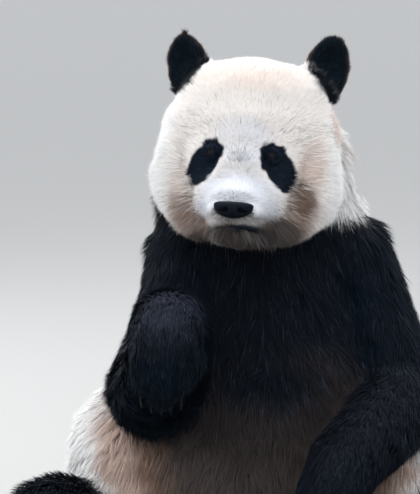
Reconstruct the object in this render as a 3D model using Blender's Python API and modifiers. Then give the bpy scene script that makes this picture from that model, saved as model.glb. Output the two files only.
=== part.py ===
"""A seated giant panda, life size, as a still model in solids that meet with hairline gaps.

The animal sits on its rump facing -Y, with its right side towards -X. Each body part is built out to
the tips of the coat. Soft masses are gathered from balls and rows of beads, drawn into one skin by a
voxel remesh, smoothed, thinned to few faces and cut flat where they press on the floor. Metres, +Z up,
origin on the floor under the belly.
"""

import math

import bmesh
import bpy
import numpy
from mathutils import Matrix, Vector

# ---------------------------------------------------------------- driving dimensions
GAP = 0.0004                     # clearance between neighbouring solids
MERGE = 5e-5                     # points closer than this are one
CLAW_MERGE = 2e-5                # the same for the fine points of a claw
BISECT_SNAP = 1e-5               # points this near a cutting plane lie on it
FLAT_ANGLE = math.radians(1.0)   # faces that meet flatter than this are made one
BEAD_STEP = 0.018                # distance between the beads of a limb

# How each mass is drawn together: the grain of its remesh, its rounds of smoothing, and its faces
# before the cuts.
SKIN_OF = {
    "head": {"voxel": 0.006, "rounds": 26, "faces": 1330},
    "ear": {"voxel": 0.004, "rounds": 6, "faces": 210},
    "torso": {"voxel": 0.009, "rounds": 14, "faces": 830},
    "arm": {"voxel": 0.007, "rounds": 6, "faces": 415},
    "leg": {"voxel": 0.007, "rounds": 6, "faces": 395},
    "tail": {"voxel": 0.007, "rounds": 6, "faces": 90},
}

HEAD_CENTRE = Vector((-0.024, -0.140, 0.768))
HEAD_TURN = (math.radians(-8.0), math.radians(3.0), math.radians(-6.5))  # nod, roll, turn to its right

# The spine's stations: a place, then the half width, half depth and half height of the body round it.
SPINE = {
    "seat": (0.000, 0.035, 0.085, 0.255, 0.235, 0.120),
    "belly": (0.000, -0.005, 0.200, 0.300, 0.265, 0.150),
    "waist": (0.003, 0.022, 0.330, 0.262, 0.244, 0.130),
    "ribs": (0.006, 0.040, 0.440, 0.218, 0.200, 0.110),
    "chest": (0.010, 0.050, 0.535, 0.192, 0.170, 0.100),
    "withers": (0.015, 0.045, 0.615, 0.172, 0.148, 0.090),
    "neck": (0.024, 0.015, 0.690, 0.156, 0.130, 0.085),
    "nape": (0.032, -0.008, 0.762, 0.134, 0.110, 0.084),
}
FLANK = {"centre": (0.170, 0.0, 0.190), "radii": (0.190, 0.200, 0.180)}
SHOULDER = {"centre": (0.112, 0.015, 0.600), "radii": (0.090, 0.105, 0.080)}
COLLAR = {"centre": (0.112, 0.025, 0.655), "radii": (0.086, 0.090, 0.070)}
NECK_CUT = {"point": (0.0, 0.0, 0.650), "normal": (0.0, -0.30, 0.95)}

# Limb stations: x is measured outwards from the mid plane, then y, z and the limb's radius in coat.
ARM_RIGHT = {
    "shoulder": (0.130, 0.005, 0.575, 0.085),
    "humerus": (0.150, -0.065, 0.475, 0.081),
    "elbow": (0.188, -0.180, 0.358, 0.088),
    "radius": (0.163, -0.250, 0.415, 0.076),
    "wrist": (0.157, -0.305, 0.490, 0.069),
    "palm": (0.162, -0.350, 0.480, 0.067),
    "knuckles": (0.168, -0.378, 0.438, 0.057),
    "fingers": (0.169, -0.370, 0.400, 0.040),
}
ARM_LEFT = {
    "shoulder": (0.160, 0.005, 0.575, 0.087),
    "humerus": (0.200, -0.020, 0.460, 0.088),
    "elbow": (0.238, -0.075, 0.330, 0.089),
    "radius": (0.200, -0.205, 0.290, 0.078),
    "wrist": (0.150, -0.290, 0.265, 0.068),
    "palm": (0.118, -0.345, 0.228, 0.063),
    "knuckles": (0.098, -0.375, 0.192, 0.052),
    "fingers": (0.088, -0.385, 0.165, 0.038),
}
LEG = {
    "hip": (0.190, 0.005, 0.100, 0.108),
    "thigh": (0.278, -0.100, 0.090, 0.096),
    "knee": (0.362, -0.205, 0.113, 0.104),
    "shin": (0.374, -0.320, 0.090, 0.084),
    "ankle": (0.366, -0.415, 0.072, 0.074),
    "heel": (0.364, -0.452, 0.058, 0.062),
    "sole": (0.368, -0.470, 0.120, 0.056),
    "toes": (0.376, -0.478, 0.178, 0.044),
}
TAIL = {
    "root": (0.0, 0.250, 0.078, 0.046),
    "middle": (0.0, 0.298, 0.050, 0.042),
    "tip": (0.0, 0.345, 0.032, 0.030),
}

# A paw: the middle of its row of toes, the way the row runs, the way the toes point, the way the claws
# curl over, the width over all the toes, and the flat mass of the palm or sole.
HAND_RIGHT = {
    "middle": (0.171, -0.386, 0.403),
    "across": (1.0, 0.05, 0.05),
    "point": (0.0, 0.15, -1.0),
    "curl": (0.0, 1.0, 0.1),
    "width": 0.112,
    "pad": {"centre": (0.158, -0.362, 0.445), "radii": (0.066, 0.052, 0.066)},
}
HAND_LEFT = {
    "middle": (0.088, -0.398, 0.168),
    "across": (0.80, 0.10, 0.55),
    "point": (-0.35, -0.65, -0.55),
    "curl": (0.2, 0.2, -1.0),
    "width": 0.112,
    "pad": {"centre": (0.108, -0.362, 0.208), "radii": (0.064, 0.058, 0.050)},
}
FOOT = {
    "middle": (0.378, -0.484, 0.186),
    "across": (1.0, 0.10, 0.0),
    "point": (0.10, -0.25, 1.0),
    "curl": (0.0, -1.0, -0.1),
    "width": 0.122,
    "pad": {"centre": (0.370, -0.478, 0.125), "radii": (0.064, 0.042, 0.088)},
}
TOE_COUNT = 5
TOE_LENGTH = 3                   # in beads
TOE_RADIUS = 0.0235
TOE_BOW = 0.010                  # how far the outer toes fall behind the middle one

# A joint is the station it lies at, between the stations that show the bones on either side of it.
ARM_JOINTS = (("shoulder", "elbow", "wrist"), ("elbow", "wrist", "knuckles"))
LEG_JOINTS = (("hip", "knee", "ankle"), ("knee", "ankle", "toes"))
ARM_PIECES = ("upper_arm", "forearm", "forepaw")
LEG_PIECES = ("thigh", "shank", "hind_foot")
LIMBS = {
    "arm_right": {"stations": ARM_RIGHT, "paw": HAND_RIGHT, "joints": ARM_JOINTS, "pieces": ARM_PIECES},
    "arm_left": {"stations": ARM_LEFT, "paw": HAND_LEFT, "joints": ARM_JOINTS, "pieces": ARM_PIECES},
    "leg_right": {"stations": LEG, "paw": FOOT, "joints": LEG_JOINTS, "pieces": LEG_PIECES},
    "leg_left": {"stations": LEG, "paw": FOOT, "joints": LEG_JOINTS, "pieces": LEG_PIECES},
}
SIDES = {"right": -1, "left": 1}

# Colour and roughness of each kind of surface, and the nodes that have it; the rest is white coat.
WHITE_COAT = ((0.80, 0.76, 0.71), 0.90)
FINISHES = {
    "claw": ((0.11, 0.09, 0.08), 0.40),
    "eye": ((0.015, 0.010, 0.008), 0.08),
    "nose": ((0.014, 0.014, 0.016), 0.45),
    "ear": ((0.022, 0.018, 0.020), 0.88),
    "upper_arm": ((0.018, 0.018, 0.024), 0.85),
    "forearm": ((0.018, 0.018, 0.024), 0.85),
    "forepaw": ((0.016, 0.016, 0.022), 0.85),
    "thigh": ((0.030, 0.024, 0.024), 0.87),
    "shank": ((0.026, 0.021, 0.022), 0.87),
    "hind_foot": ((0.024, 0.020, 0.022), 0.87),
}


# ---------------------------------------------------------------- scene and small helpers
def clear_scene():
    for thing in list(bpy.data.objects):
        bpy.data.objects.remove(thing, do_unlink=True)


def dress(thing):
    """Gives a node its own material, in the colour of what covers it."""
    kinds = [kind for kind in FINISHES if thing.name.startswith(kind)]
    colour, roughness = FINISHES[kinds[0]] if kinds else WHITE_COAT
    material = bpy.data.materials.new(thing.name)
    material.use_nodes = True
    shader = material.node_tree.nodes["Principled BSDF"]
    shader.inputs["Base Color"].default_value = (*colour, 1.0)
    shader.inputs["Roughness"].default_value = roughness
    material.diffuse_color = (*colour, 1.0)
    thing.data.materials.clear()
    thing.data.materials.append(material)


def mirrored(vector, side):
    return Vector((side * vector[0], vector[1], vector[2]))


def new_object(name, bm):
    mesh = bpy.data.meshes.new(name)
    bm.to_mesh(mesh)
    bm.free()
    thing = bpy.data.objects.new(name, mesh)
    panda.objects.link(thing)
    return thing


def add_ball(bm, centre, radii, segments=28, rings=18):
    place = Matrix.LocRotScale(Vector(centre), None, Vector(radii))
    bmesh.ops.create_uvsphere(bm, u_segments=segments, v_segments=rings, radius=1.0, matrix=place)


def add_pair(bm, form):
    """One ball on each side of the mid plane."""
    for side in SIDES.values():
        add_ball(bm, mirrored(form["centre"], side), form["radii"])


def between(before, start, end, after, t):
    """The point at share t of the way from start to end, on a curve that also minds their neighbours."""
    bend = 2 * before - 5 * start + 4 * end - after
    twist = 3 * start - before - 3 * end + after
    return 0.5 * (2 * start + (end - before) * t + bend * t ** 2 + twist * t ** 3)


def smooth_path(stations):
    """Stations along a smooth curve through the given ones, each a place and its radii."""
    path = []
    padded = [stations[0]] + list(stations) + [stations[-1]]
    for i in range(1, len(padded) - 2):
        before, start, end, after = (numpy.array(station) for station in padded[i - 1:i + 3])
        steps = max(2, round(float(numpy.linalg.norm(end[:3] - start[:3])) / BEAD_STEP))
        path += [between(before, start, end, after, k / steps) for k in range(steps)]
    path.append(numpy.array(stations[-1]))
    return path


def add_row(bm, stations, side=1):
    """A row of beads along a smooth curve: round for a limb, ellipsoids where three radii are given."""
    for station in smooth_path(list(stations.values())):
        radii = tuple(station[3:]) if len(station) == 6 else (station[3],) * 3
        add_ball(bm, mirrored(station[:3], side), radii, segments=20, rings=12)


def mesh_of(thing):
    """The mesh that an object's curve or modifiers make."""
    bpy.context.view_layer.update()
    graph = bpy.context.evaluated_depsgraph_get()
    return bpy.data.meshes.new_from_object(thing.evaluated_get(graph))


def evaluated(thing):
    """Replaces an object's mesh with what its modifiers make of it."""
    result = mesh_of(thing)
    thing.modifiers.clear()
    thing.data = result
    return thing


def draw_together(thing, kind):
    """Makes one smooth closed skin of many overlapping balls, and thins it."""
    skin = SKIN_OF[kind]
    remesh = thing.modifiers.new("one skin", "REMESH")
    remesh.mode = "VOXEL"
    remesh.voxel_size = skin["voxel"]
    soften = thing.modifiers.new("soften", "SMOOTH")
    soften.factor = 0.5
    soften.iterations = skin["rounds"]
    evaluated(thing)
    triangles = sum(len(face.vertices) - 2 for face in thing.data.polygons)
    thin = thing.modifiers.new("thin", "DECIMATE")
    thin.ratio = skin["faces"] / triangles
    return evaluated(thing)


def keep_side(thing, point, normal, name=None):
    """Keeps the material on the far side of a plane along its normal, and closes the cut."""
    bm = bmesh.new()
    bm.from_mesh(thing.data)
    whole = bm.verts[:] + bm.edges[:] + bm.faces[:]
    bmesh.ops.bisect_plane(
        bm, geom=whole, dist=BISECT_SNAP, plane_co=point, plane_no=normal, clear_inner=True)
    rim = [edge for edge in bm.edges if edge.is_boundary]
    bmesh.ops.holes_fill(bm, edges=rim, sides=0)
    bmesh.ops.triangulate(bm, faces=[face for face in bm.faces if len(face.verts) > 4])
    bmesh.ops.recalc_face_normals(bm, faces=bm.faces)
    if name is None:
        bm.to_mesh(thing.data)
        bm.free()
        return thing
    return new_object(name, bm)


def split(thing, point, normal, low_name, high_name):
    """Parts a solid by a plane into two nodes a hairline apart."""
    point, normal = Vector(point), Vector(normal).normalized()
    high = keep_side(thing, point + normal * GAP / 2, normal, high_name)
    low = keep_side(thing, point - normal * GAP / 2, -normal, low_name)
    bpy.data.objects.remove(thing, do_unlink=True)
    return low, high


def apart(thing, other):
    """Whether the boxes round two solids stay clear of each other."""
    for axis in range(3):
        mine = [vert.co[axis] for vert in thing.data.vertices]
        theirs = [vert.co[axis] for vert in other.data.vertices]
        if min(mine) > max(theirs) + GAP or min(theirs) > max(mine) + GAP:
            return True
    return False


def cut_by(thing, other):
    """Cuts one solid clear of another, leaving the hairline gap between them."""
    if apart(thing, other):
        return thing
    swollen = other.copy()
    swollen.data = other.data.copy()
    swollen.name = f"{other.name}_swollen"
    cutters.objects.link(swollen)
    swollen.display_type = "WIRE"
    swollen.hide_render = True
    swell = swollen.modifiers.new("swell", "DISPLACE")
    swell.mid_level = 0.0
    swell.strength = GAP
    cut = thing.modifiers.new("clear", "BOOLEAN")
    cut.operation = "DIFFERENCE"
    cut.solver = "EXACT"
    cut.object = swollen
    evaluated(thing)
    bpy.data.objects.remove(swollen, do_unlink=True)
    return tidy(thing)


def tidy(thing):
    """Drops slivers and the loose crumbs that a cut leaves."""
    bm = bmesh.new()
    bm.from_mesh(thing.data)
    bmesh.ops.remove_doubles(bm, verts=bm.verts, dist=MERGE)
    bmesh.ops.dissolve_degenerate(bm, edges=bm.edges, dist=MERGE)
    bmesh.ops.triangulate(bm, faces=[face for face in bm.faces if len(face.verts) > 3])
    keep_largest(bm)
    bm.to_mesh(thing.data)
    bm.free()
    return thing


def keep_largest(bm):
    islands = []
    seen = set()
    for first in bm.verts:
        if first in seen:
            continue
        island = [first]
        seen.add(first)
        for vert in island:
            for edge in vert.link_edges:
                other = edge.other_vert(vert)
                if other not in seen:
                    seen.add(other)
                    island.append(other)
        islands.append(island)
    islands.sort(key=len)
    for island in islands[:-1]:
        bmesh.ops.delete(bm, geom=island, context="VERTS")


# ---------------------------------------------------------------- head
# Head sizes are in the face's own frame: x to the animal's left, y backwards, z up, from the head's centre.
FACE = {"centre": (0.0, -0.014, -0.024), "radii": (0.162, 0.112, 0.140)}
SKULL = {"centre": (0.0, 0.045, 0.030), "radii": (0.146, 0.125, 0.134)}
FOREHEAD = {"centre": (0.0, 0.000, 0.068), "radii": (0.122, 0.106, 0.100)}
BROW = {"centre": (0.0, -0.030, 0.020), "radii": (0.116, 0.097, 0.090)}
CROWN = {"centre": (0.048, 0.022, 0.068), "radii": (0.092, 0.108, 0.094)}
TEMPLE = {"centre": (0.062, 0.014, 0.030), "radii": (0.099, 0.105, 0.082)}
CHEEK = {"centre": (0.068, 0.000, -0.050), "radii": (0.101, 0.102, 0.104)}
JOWL = {"centre": (0.046, -0.026, -0.090), "radii": (0.096, 0.092, 0.077)}
BRIDGE = {"centre": (0.0, -0.104, -0.048), "radii": (0.048, 0.058, 0.052)}
SNOUT_ROOT = {"centre": (0.0, -0.096, -0.088), "radii": (0.086, 0.070, 0.060)}
MUZZLE = {"centre": (0.0, -0.142, -0.100), "radii": (0.056, 0.064, 0.046)}
CHIN = {"centre": (0.0, -0.108, -0.134), "radii": (0.060, 0.060, 0.035)}

EYE_PLACE = (0.0490, -0.1130, -0.012)
EYE_RADIUS = 0.0115
NOSE_PLACE = (0.0, -0.1990, -0.1060)
NOSE_SIZE = (0.0330, 0.0125, 0.0137)
NOSE_WRAP = 5.5                  # how strongly the pad curves back round the muzzle, per metre
NOSE_TAPER = 0.62                # width of the pad below, in its width above
NOSE_FALL = 0.25                 # how far the lower front falls back, in half depths
EARS = {
    "right": {"foot": (0.106, 0.035, 0.090), "size": (0.0420, 0.021, 0.067)},
    "left": {"foot": (0.109, 0.035, 0.095), "size": (0.0440, 0.021, 0.070)},
}
EAR_LEAN = math.radians(14.0)
EAR_OPENS = math.radians(12.0)   # how far the hollow of an ear looks outwards
EAR_ROUND = 0.75                 # height of the middle of the ear's round top, in ear heights
EAR_STALK = {"rise": 0.30, "back": 0.004, "width": 0.86, "height": 0.62}
EAR_HOLLOW = {"rise": 0.85, "forward": 1.35, "width": 0.68, "height": 0.62}


def face_place():
    nod, roll, turn = HEAD_TURN
    turned = Matrix.Rotation(turn, 4, "Z") @ Matrix.Rotation(nod, 4, "X") @ Matrix.Rotation(roll, 4, "Y")
    return Matrix.Translation(HEAD_CENTRE) @ turned


def put_on_face(thing):
    thing.data.transform(face_place())
    return thing


def build_head():
    bm = bmesh.new()
    for form in (FACE, SKULL, FOREHEAD, BROW, BRIDGE, SNOUT_ROOT, MUZZLE, CHIN):
        add_ball(bm, form["centre"], form["radii"])
    for form in (CROWN, TEMPLE, CHEEK, JOWL):
        add_pair(bm, form)
    return put_on_face(draw_together(new_object("head", bm), "head"))


def build_ear(word, side, head):
    """A round-topped leaf, hollow in front, that leans outwards and grows from the side of the crown."""
    name = f"ear_{word}"
    width, depth, height = EARS[word]["size"]
    stalk, scoop = EAR_STALK, EAR_HOLLOW
    bm = bmesh.new()
    add_ball(bm, (0.0, 0.0, height * EAR_ROUND), EARS[word]["size"])
    stalk_size = (width * stalk["width"], depth, height * stalk["height"])
    add_ball(bm, (0.0, stalk["back"], height * stalk["rise"]), stalk_size)
    ear = draw_together(new_object(name, bm), "ear")
    bm = bmesh.new()
    scoop_size = (width * scoop["width"], depth, height * scoop["height"])
    add_ball(bm, (0.0, -depth * scoop["forward"], height * scoop["rise"]), scoop_size, segments=12, rings=8)
    hollow = new_object("ear_hollow", bm)
    cut = ear.modifiers.new("hollow", "BOOLEAN")
    cut.operation = "DIFFERENCE"
    cut.object = hollow
    evaluated(ear)
    bpy.data.objects.remove(hollow, do_unlink=True)
    lean = Matrix.Rotation(side * EAR_LEAN, 4, "Y") @ Matrix.Rotation(side * EAR_OPENS, 4, "Z")
    ear.data.transform(Matrix.Translation(mirrored(EARS[word]["foot"], side)) @ lean)
    return cut_by(put_on_face(ear), head)


def build_eye(name, side):
    bm = bmesh.new()
    add_ball(bm, mirrored(EYE_PLACE, side), (EYE_RADIUS,) * 3, segments=12, rings=7)
    return put_on_face(new_object(name, bm))


def build_nose():
    """A broad pad, wider above than below, whose face falls back and curves round the muzzle."""
    bm = bmesh.new()
    bmesh.ops.create_cube(bm, size=2.0)
    for vert in bm.verts:
        if vert.co.z < 0:
            vert.co.x *= NOSE_TAPER
            vert.co.y = vert.co.y * (1 - NOSE_FALL) + NOSE_FALL
    nose = new_object("nose", bm)
    round_off = nose.modifiers.new("round off", "SUBSURF")
    round_off.levels = 2
    round_off.render_levels = 2
    verts = evaluated(nose).data.vertices
    reach = [max(abs(vert.co[axis]) for vert in verts) for axis in range(3)]
    for vert in verts:
        vert.co = Vector(size * at / far for size, at, far in zip(NOSE_SIZE, vert.co, reach))
        vert.co.y += NOSE_WRAP * vert.co.x ** 2
    nose.data.transform(Matrix.Translation(NOSE_PLACE))
    return put_on_face(nose)


# ---------------------------------------------------------------- toes and claws
CLAW_LENGTH = 0.044
CLAW_RADIUS = 0.0052
CLAW_SINK = 0.012                # how deep a claw is rooted in its toe
CLAW_DROP = 0.25                 # how far its root lies to the back of the toe, in toe radii
CLAW_HOOK = 0.42                 # how far it curls over, in claw lengths
CLAW_TAPER = 0.86                # share of its radius lost at the tip
CLAW_BULGE = 1.5                 # over 1, the taper starts late


def toe_places(paw, side):
    """The middle of each toe of a paw, from its thumb side outwards."""
    middle = mirrored(paw["middle"], side)
    across = mirrored(paw["across"], side).normalized()
    point = mirrored(paw["point"], side).normalized()
    for i in range(TOE_COUNT):
        share = 2.0 * i / (TOE_COUNT - 1) - 1.0
        yield middle + across * share * (paw["width"] / 2 - TOE_RADIUS) - point * TOE_BOW * share ** 2


def add_paw(bm, paw, side):
    point = mirrored(paw["point"], side).normalized()
    add_ball(bm, mirrored(paw["pad"]["centre"], side), paw["pad"]["radii"])
    for place in toe_places(paw, side):
        for step in range(TOE_LENGTH):
            add_ball(bm, place - point * step * TOE_RADIUS, (TOE_RADIUS,) * 3, segments=16, rings=10)


def build_claw(name, place, point, curl):
    """A tapered hook: it leaves its toe outwards and curls over."""
    root = place + point * (TOE_RADIUS - CLAW_SINK) - curl * TOE_RADIUS * CLAW_DROP
    curve = bpy.data.curves.new(name, "CURVE")
    curve.dimensions = "3D"
    curve.bevel_depth = CLAW_RADIUS
    curve.bevel_resolution = 1
    curve.use_fill_caps = True
    spline = curve.splines.new("POLY")
    spline.points.add(2)
    for i, control in enumerate(spline.points):
        t = i / 2
        control.co = (*(root + CLAW_LENGTH * (point * t + curl * CLAW_HOOK * t ** 2)), 1.0)
        control.radius = 1.0 - CLAW_TAPER * t ** CLAW_BULGE
    guide = bpy.data.objects.new(name, curve)
    panda.objects.link(guide)
    evaluated_mesh = mesh_of(guide)
    bpy.data.objects.remove(guide, do_unlink=True)
    bm = bmesh.new()
    bm.from_mesh(evaluated_mesh)
    bmesh.ops.remove_doubles(bm, verts=bm.verts, dist=CLAW_MERGE)
    bmesh.ops.recalc_face_normals(bm, faces=bm.faces)
    return new_object(name, bm)


def build_claws(paw_node, paw, side):
    """One claw on each toe, and the paw cut clear of them."""
    point = mirrored(paw["point"], side).normalized()
    curl = mirrored(paw["curl"], side).normalized()
    for i, place in enumerate(toe_places(paw, side)):
        cut_by(paw_node, build_claw(f"claw_{paw_node.name}_{i + 1}", place, point, curl))


# ---------------------------------------------------------------- body
def build_torso():
    bm = bmesh.new()
    add_row(bm, SPINE)
    for form in (FLANK, SHOULDER, COLLAR):
        add_pair(bm, form)
    return draw_together(new_object("torso", bm), "torso")


def build_limb(name, stations, side, paw=None):
    bm = bmesh.new()
    add_row(bm, stations, side)
    if paw is not None:
        add_paw(bm, paw, side)
    return draw_together(new_object(name, bm), name.split("_")[0])


def joint_plane(stations, side, before, at, after):
    """The plane through a joint that halves the angle between the bones on either side of it."""
    def place(key):
        return mirrored(stations[key][:3], side)
    towards_root = (place(before) - place(at)).normalized()
    towards_tip = (place(after) - place(at)).normalized()
    return place(at), towards_root - towards_tip


def part_limb(limb, plan, side):
    """Parts a limb at its joints, from its root to its tip, and gives back its pieces."""
    side_word = limb.name.split("_")[1]
    nodes = [f"{piece}_{side_word}" for piece in plan["pieces"]]
    pieces = []
    rest = limb
    for joint, node in zip(plan["joints"], nodes):
        point, normal = joint_plane(plan["stations"], side, *joint)
        rest, piece = split(rest, point, normal, "rest_of_limb", node)
        pieces.append(tidy(piece))
    rest.name = nodes[-1]
    pieces.append(tidy(rest))
    return pieces


def rest_on_floor(thing):
    """Cuts a solid flat where it presses on the floor."""
    if min(vert.co.z for vert in thing.data.vertices) < 0.0:
        keep_side(thing, (0.0, 0.0, 0.0), (0.0, 0.0, 1.0))
    return thing


def build_body(head):
    """The trunk and neck, the four limbs and the tail, each cut clear of what it grows from."""
    torso = build_torso()
    tail = build_limb("tail", TAIL, 1)
    limbs = {}
    for name, plan in LIMBS.items():
        limbs[name] = build_limb(name, plan["stations"], SIDES[name.split("_")[1]], plan["paw"])
    for thing in [torso, tail, *limbs.values()]:
        rest_on_floor(thing)
    cut_by(limbs["leg_left"], limbs["arm_left"])
    for part in split(torso, NECK_CUT["point"], NECK_CUT["normal"], "trunk", "neck"):
        for thing in [head, tail, *limbs.values()]:
            cut_by(part, thing)
    for name, plan in LIMBS.items():
        side = SIDES[name.split("_")[1]]
        pieces = part_limb(limbs[name], plan, side)
        build_claws(pieces[-1], plan["paw"], side)


def merge_flats(thing):
    """Makes one face of the flat scraps that the cuts leave."""
    bm = bmesh.new()
    bm.from_mesh(thing.data)
    bmesh.ops.dissolve_limit(bm, angle_limit=FLAT_ANGLE, verts=bm.verts, edges=bm.edges)
    bmesh.ops.triangulate(bm, faces=[face for face in bm.faces if len(face.verts) > 3])
    bm.to_mesh(thing.data)
    bm.free()


def main():
    clear_scene()
    head = build_head()
    for word, side in SIDES.items():
        build_ear(word, side, head)
    build_body(head)
    cut_by(head, build_nose())
    for word, side in SIDES.items():
        cut_by(head, build_eye(f"eye_{word}", side))
    for thing in panda.objects:
        merge_flats(thing)
        dress(thing)


if __name__ == "__main__":
    panda = bpy.data.collections.new("giant_panda")
    bpy.context.scene.collection.children.link(panda)
    cutters = bpy.data.collections.new("cutters")
    bpy.context.scene.collection.children.link(cutters)
    main()
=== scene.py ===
"""Looks of a seated giant panda: its skin, its coat of fine mesh tufts, eyes, nose, claws and a studio.

One closed skin is drawn over the solids of flesh and sunk by the depth of the coat. Every point of the
skin carries what grows there: the lie, length and width of the tufts and the colour of the markings. The
coat pieces grow from those fields. Metres, +Z up, the animal faces -Y.
"""

import math

import bmesh
import bpy
import numpy as np
from bpy.props import FloatProperty, FloatVectorProperty, IntProperty, PointerProperty
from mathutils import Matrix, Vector
from mathutils.bvhtree import BVHTree
from mathutils.kdtree import KDTree


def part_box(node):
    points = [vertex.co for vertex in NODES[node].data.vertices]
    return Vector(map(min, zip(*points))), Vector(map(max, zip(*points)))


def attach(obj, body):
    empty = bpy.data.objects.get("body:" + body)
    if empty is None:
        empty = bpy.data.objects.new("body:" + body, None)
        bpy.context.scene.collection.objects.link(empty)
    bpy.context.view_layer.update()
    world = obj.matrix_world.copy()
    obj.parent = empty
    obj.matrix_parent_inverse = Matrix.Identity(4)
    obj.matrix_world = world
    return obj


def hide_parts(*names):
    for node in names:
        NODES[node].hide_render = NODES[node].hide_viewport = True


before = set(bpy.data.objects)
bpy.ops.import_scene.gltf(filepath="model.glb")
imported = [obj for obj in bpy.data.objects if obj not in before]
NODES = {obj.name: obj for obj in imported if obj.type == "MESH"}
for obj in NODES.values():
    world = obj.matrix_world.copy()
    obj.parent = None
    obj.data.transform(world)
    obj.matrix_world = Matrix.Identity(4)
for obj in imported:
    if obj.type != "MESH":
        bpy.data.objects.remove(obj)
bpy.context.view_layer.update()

bl_info = {
    "name": "Seated Panda Looks",
    "version": (1, 0, 0),
    "blender": (4, 5, 0),
    "location": "View3D > Sidebar > Panda",
    "description": "Grows the skin and coat of a seated panda over its solids",
    "category": "Object",
}

# ---------------------------------------------------------------- the frame's parts
SIDES = {"right": -1.0, "left": 1.0}
LIMB_NODES = {"arm": ("upper_arm", "forearm", "forepaw"), "leg": ("thigh", "shank", "hind_foot")}
LIMBS = {
    f"{limb}_{side}": [f"{node}_{side}" for node in nodes]
    for limb, nodes in LIMB_NODES.items() for side in SIDES
}
PAWS = [f"{paw}_{side}" for paw in ("forepaw", "hind_foot") for side in SIDES]
FLESH = ["head", "neck", "trunk", "tail", "ear_right", "ear_left"]
FLESH += [node for nodes in LIMBS.values() for node in nodes]
TOES = 5

# ---------------------------------------------------------------- sizes of the face, in its own frame
# x runs to the animal's left, y backwards and z up, from the middle of the head.
BETWEEN_EYES = np.array((0.0, -0.1130, -0.0120))
NOSE_MIDDLE = np.array((0.0, -0.1960, -0.1060))
WHORL = np.array((0.0, -0.165, -0.034))          # the parting between the eyes that the hair runs away from
NOSE_SOURCE = np.array((0.0, -0.235, -0.100))    # and the point before the nose, for the muzzle and cheeks
EAR_SOURCE = np.array((0.085, 0.03, 0.05))       # and in the head below the left ear, for the ears
PATCH_MIDDLE = np.array((0.0625, -0.0285))       # x and z of an eye patch
PATCH_AXIS = np.array((0.50, -0.866))            # its long axis, down and outwards
PATCH_HALVES = (0.0455, 0.0240)
GAZE = (0.36, -1.0, 0.06)        # the way that the left eye looks
EYE_SLANT = 0.35                 # how far the outer corner of an eye drops
EYEBALL_FIT = 0.97               # size of the eyeball, in radii of its node
CORNEA = 0.07                    # bulge of the cornea, in radii
EYE_PARTING = (0.014, 0.034)     # how near to and far from an eye's middle the coat is turned aside
NOSE_WRAP = 5.5                  # how strongly the nose curves back round the muzzle, per metre
NOSE_RIM = 0.20                  # how far back the rim of the nose lies, in its half depths
NOSE_BED = 0.0012                # how far the skin lies behind the rim of the nose
NOSE_CORNERS = (3.0, 1.9)        # how square the nose's outline is above and below its widest line
NOSE_HEART = 0.1                 # height of the middle of its front, in half heights
# The nostrils' holes, their slits and the wings over them: x, z, lean, width and height in half sizes of the
# nose, and depth in metres.
NOSE_HOLLOWS = (
    (0.36, -0.02, 0.0, 0.12, 0.24, 0.0080),
    (0.58, -0.14, 0.35, 0.17, 0.10, 0.0050),
    (0.55, 0.32, 0.0, 0.22, 0.25, -0.0010),
)
NOSE_GROOVE = (0.04, 0.0016)     # width and depth of the groove down its middle
LIP_HEIGHT = -0.1305
LIP_SLOPE = 0.14
LIP_REACH = 0.043
LIP_FOLDS = (                    # groove between the lips, swells below and above: depth, height, width
    (0.0036, 0.0, 0.0024),
    (-0.0012, -0.0095, 0.006),
    (-0.0012, 0.0065, 0.005),
)
PHILTRUM = (0.0020, 0.0020)      # depth and width of the groove from the nose to the lips
FINE_FACE = ((0.0, -0.15, -0.07), (0.11, 0.11, 0.11))        # where the skin's net is finer: middle and radii
FINE_EYES = ((0.054, -0.12, -0.016), (0.030, 0.04, 0.030))   # and where it is finest
FINE_MOUTH = ((0.0, -0.18, -0.125), (0.055, 0.05, 0.022))
FOREHEAD_FOOT = 0.012            # the z above which the head's coat belongs to the forehead
NAPE_FRONT = 0.055               # the y behind which it belongs to the nape
MUZZLE_REGION = ((0.0, -0.15, -0.085), (0.080, 0.09, 0.062)) # and where it belongs to the muzzle
MEETING_GAP = 0.002              # nodes with points nearer than this meet there

# Stains on the head's coat, in the order that they are laid on: colour, strength, how far clouds vary it,
# the sides that have it, middle (x on either side) and radii. The pale rim of the cheeks comes between the
# two tables.
# Marks for the left side alone make the left side of the face darker and browner than the right.
CHEEK_STAINS = (
    ("blush", 0.50, 0.10, "both", (0.0, 0.0, 0.118), (0.09, 0.12, 0.026)),
    ("frost", 0.60, 0.10, "both", (0.0, -0.12, 0.005), (0.050, 0.25, 0.045)),
    ("tan", 0.36, 0.10, "both", (0.114, -0.02, -0.066), (0.017, 0.14, 0.076)),
    ("tan", 0.45, 0.0, "left", (0.116, -0.04, -0.025), (0.026, 0.10, 0.045)),
    ("brown", 0.70, 0.10, "both", (0.099, -0.05, -0.099), (0.0225, 0.12, 0.031)),
)
MUZZLE_STAINS = (
    ("left_cheek_dark", 0.92, 0.0, "left", (0.105, -0.06, -0.079), (0.018, 0.10, 0.036)),
    ("brown", 0.85, 0.10, "both", (0.075, -0.06, -0.134), (0.040, 0.16, 0.022)),
    ("dusk", 0.85, 0.10, "both", (0.025, -0.10, -0.156), (0.080, 0.22, 0.022)),
    ("tan", 0.70, 0.0, "left", (0.150, 0.03, 0.055), (0.018, 0.06, 0.050)),
    ("frost", 0.95, 0.0, "both", (0.0, -0.15, -0.076), (0.066, 0.12, 0.036)),
    ("frost", 0.80, 0.0, "both", (0.044, -0.15, -0.104), (0.030, 0.10, 0.018)),
    ("soot", 0.85, 0.0, "left", (0.066, -0.10, -0.138), (0.048, 0.16, 0.026)),
    ("soot", 0.75, 0.0, "both", (0.0, -0.18, -0.134), (0.034, 0.08, 0.0125)),
    ("grey", 0.08, 0.0, "both", (0.0, -0.20, -0.086), (0.034, 0.05, 0.0095)),
)
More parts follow.
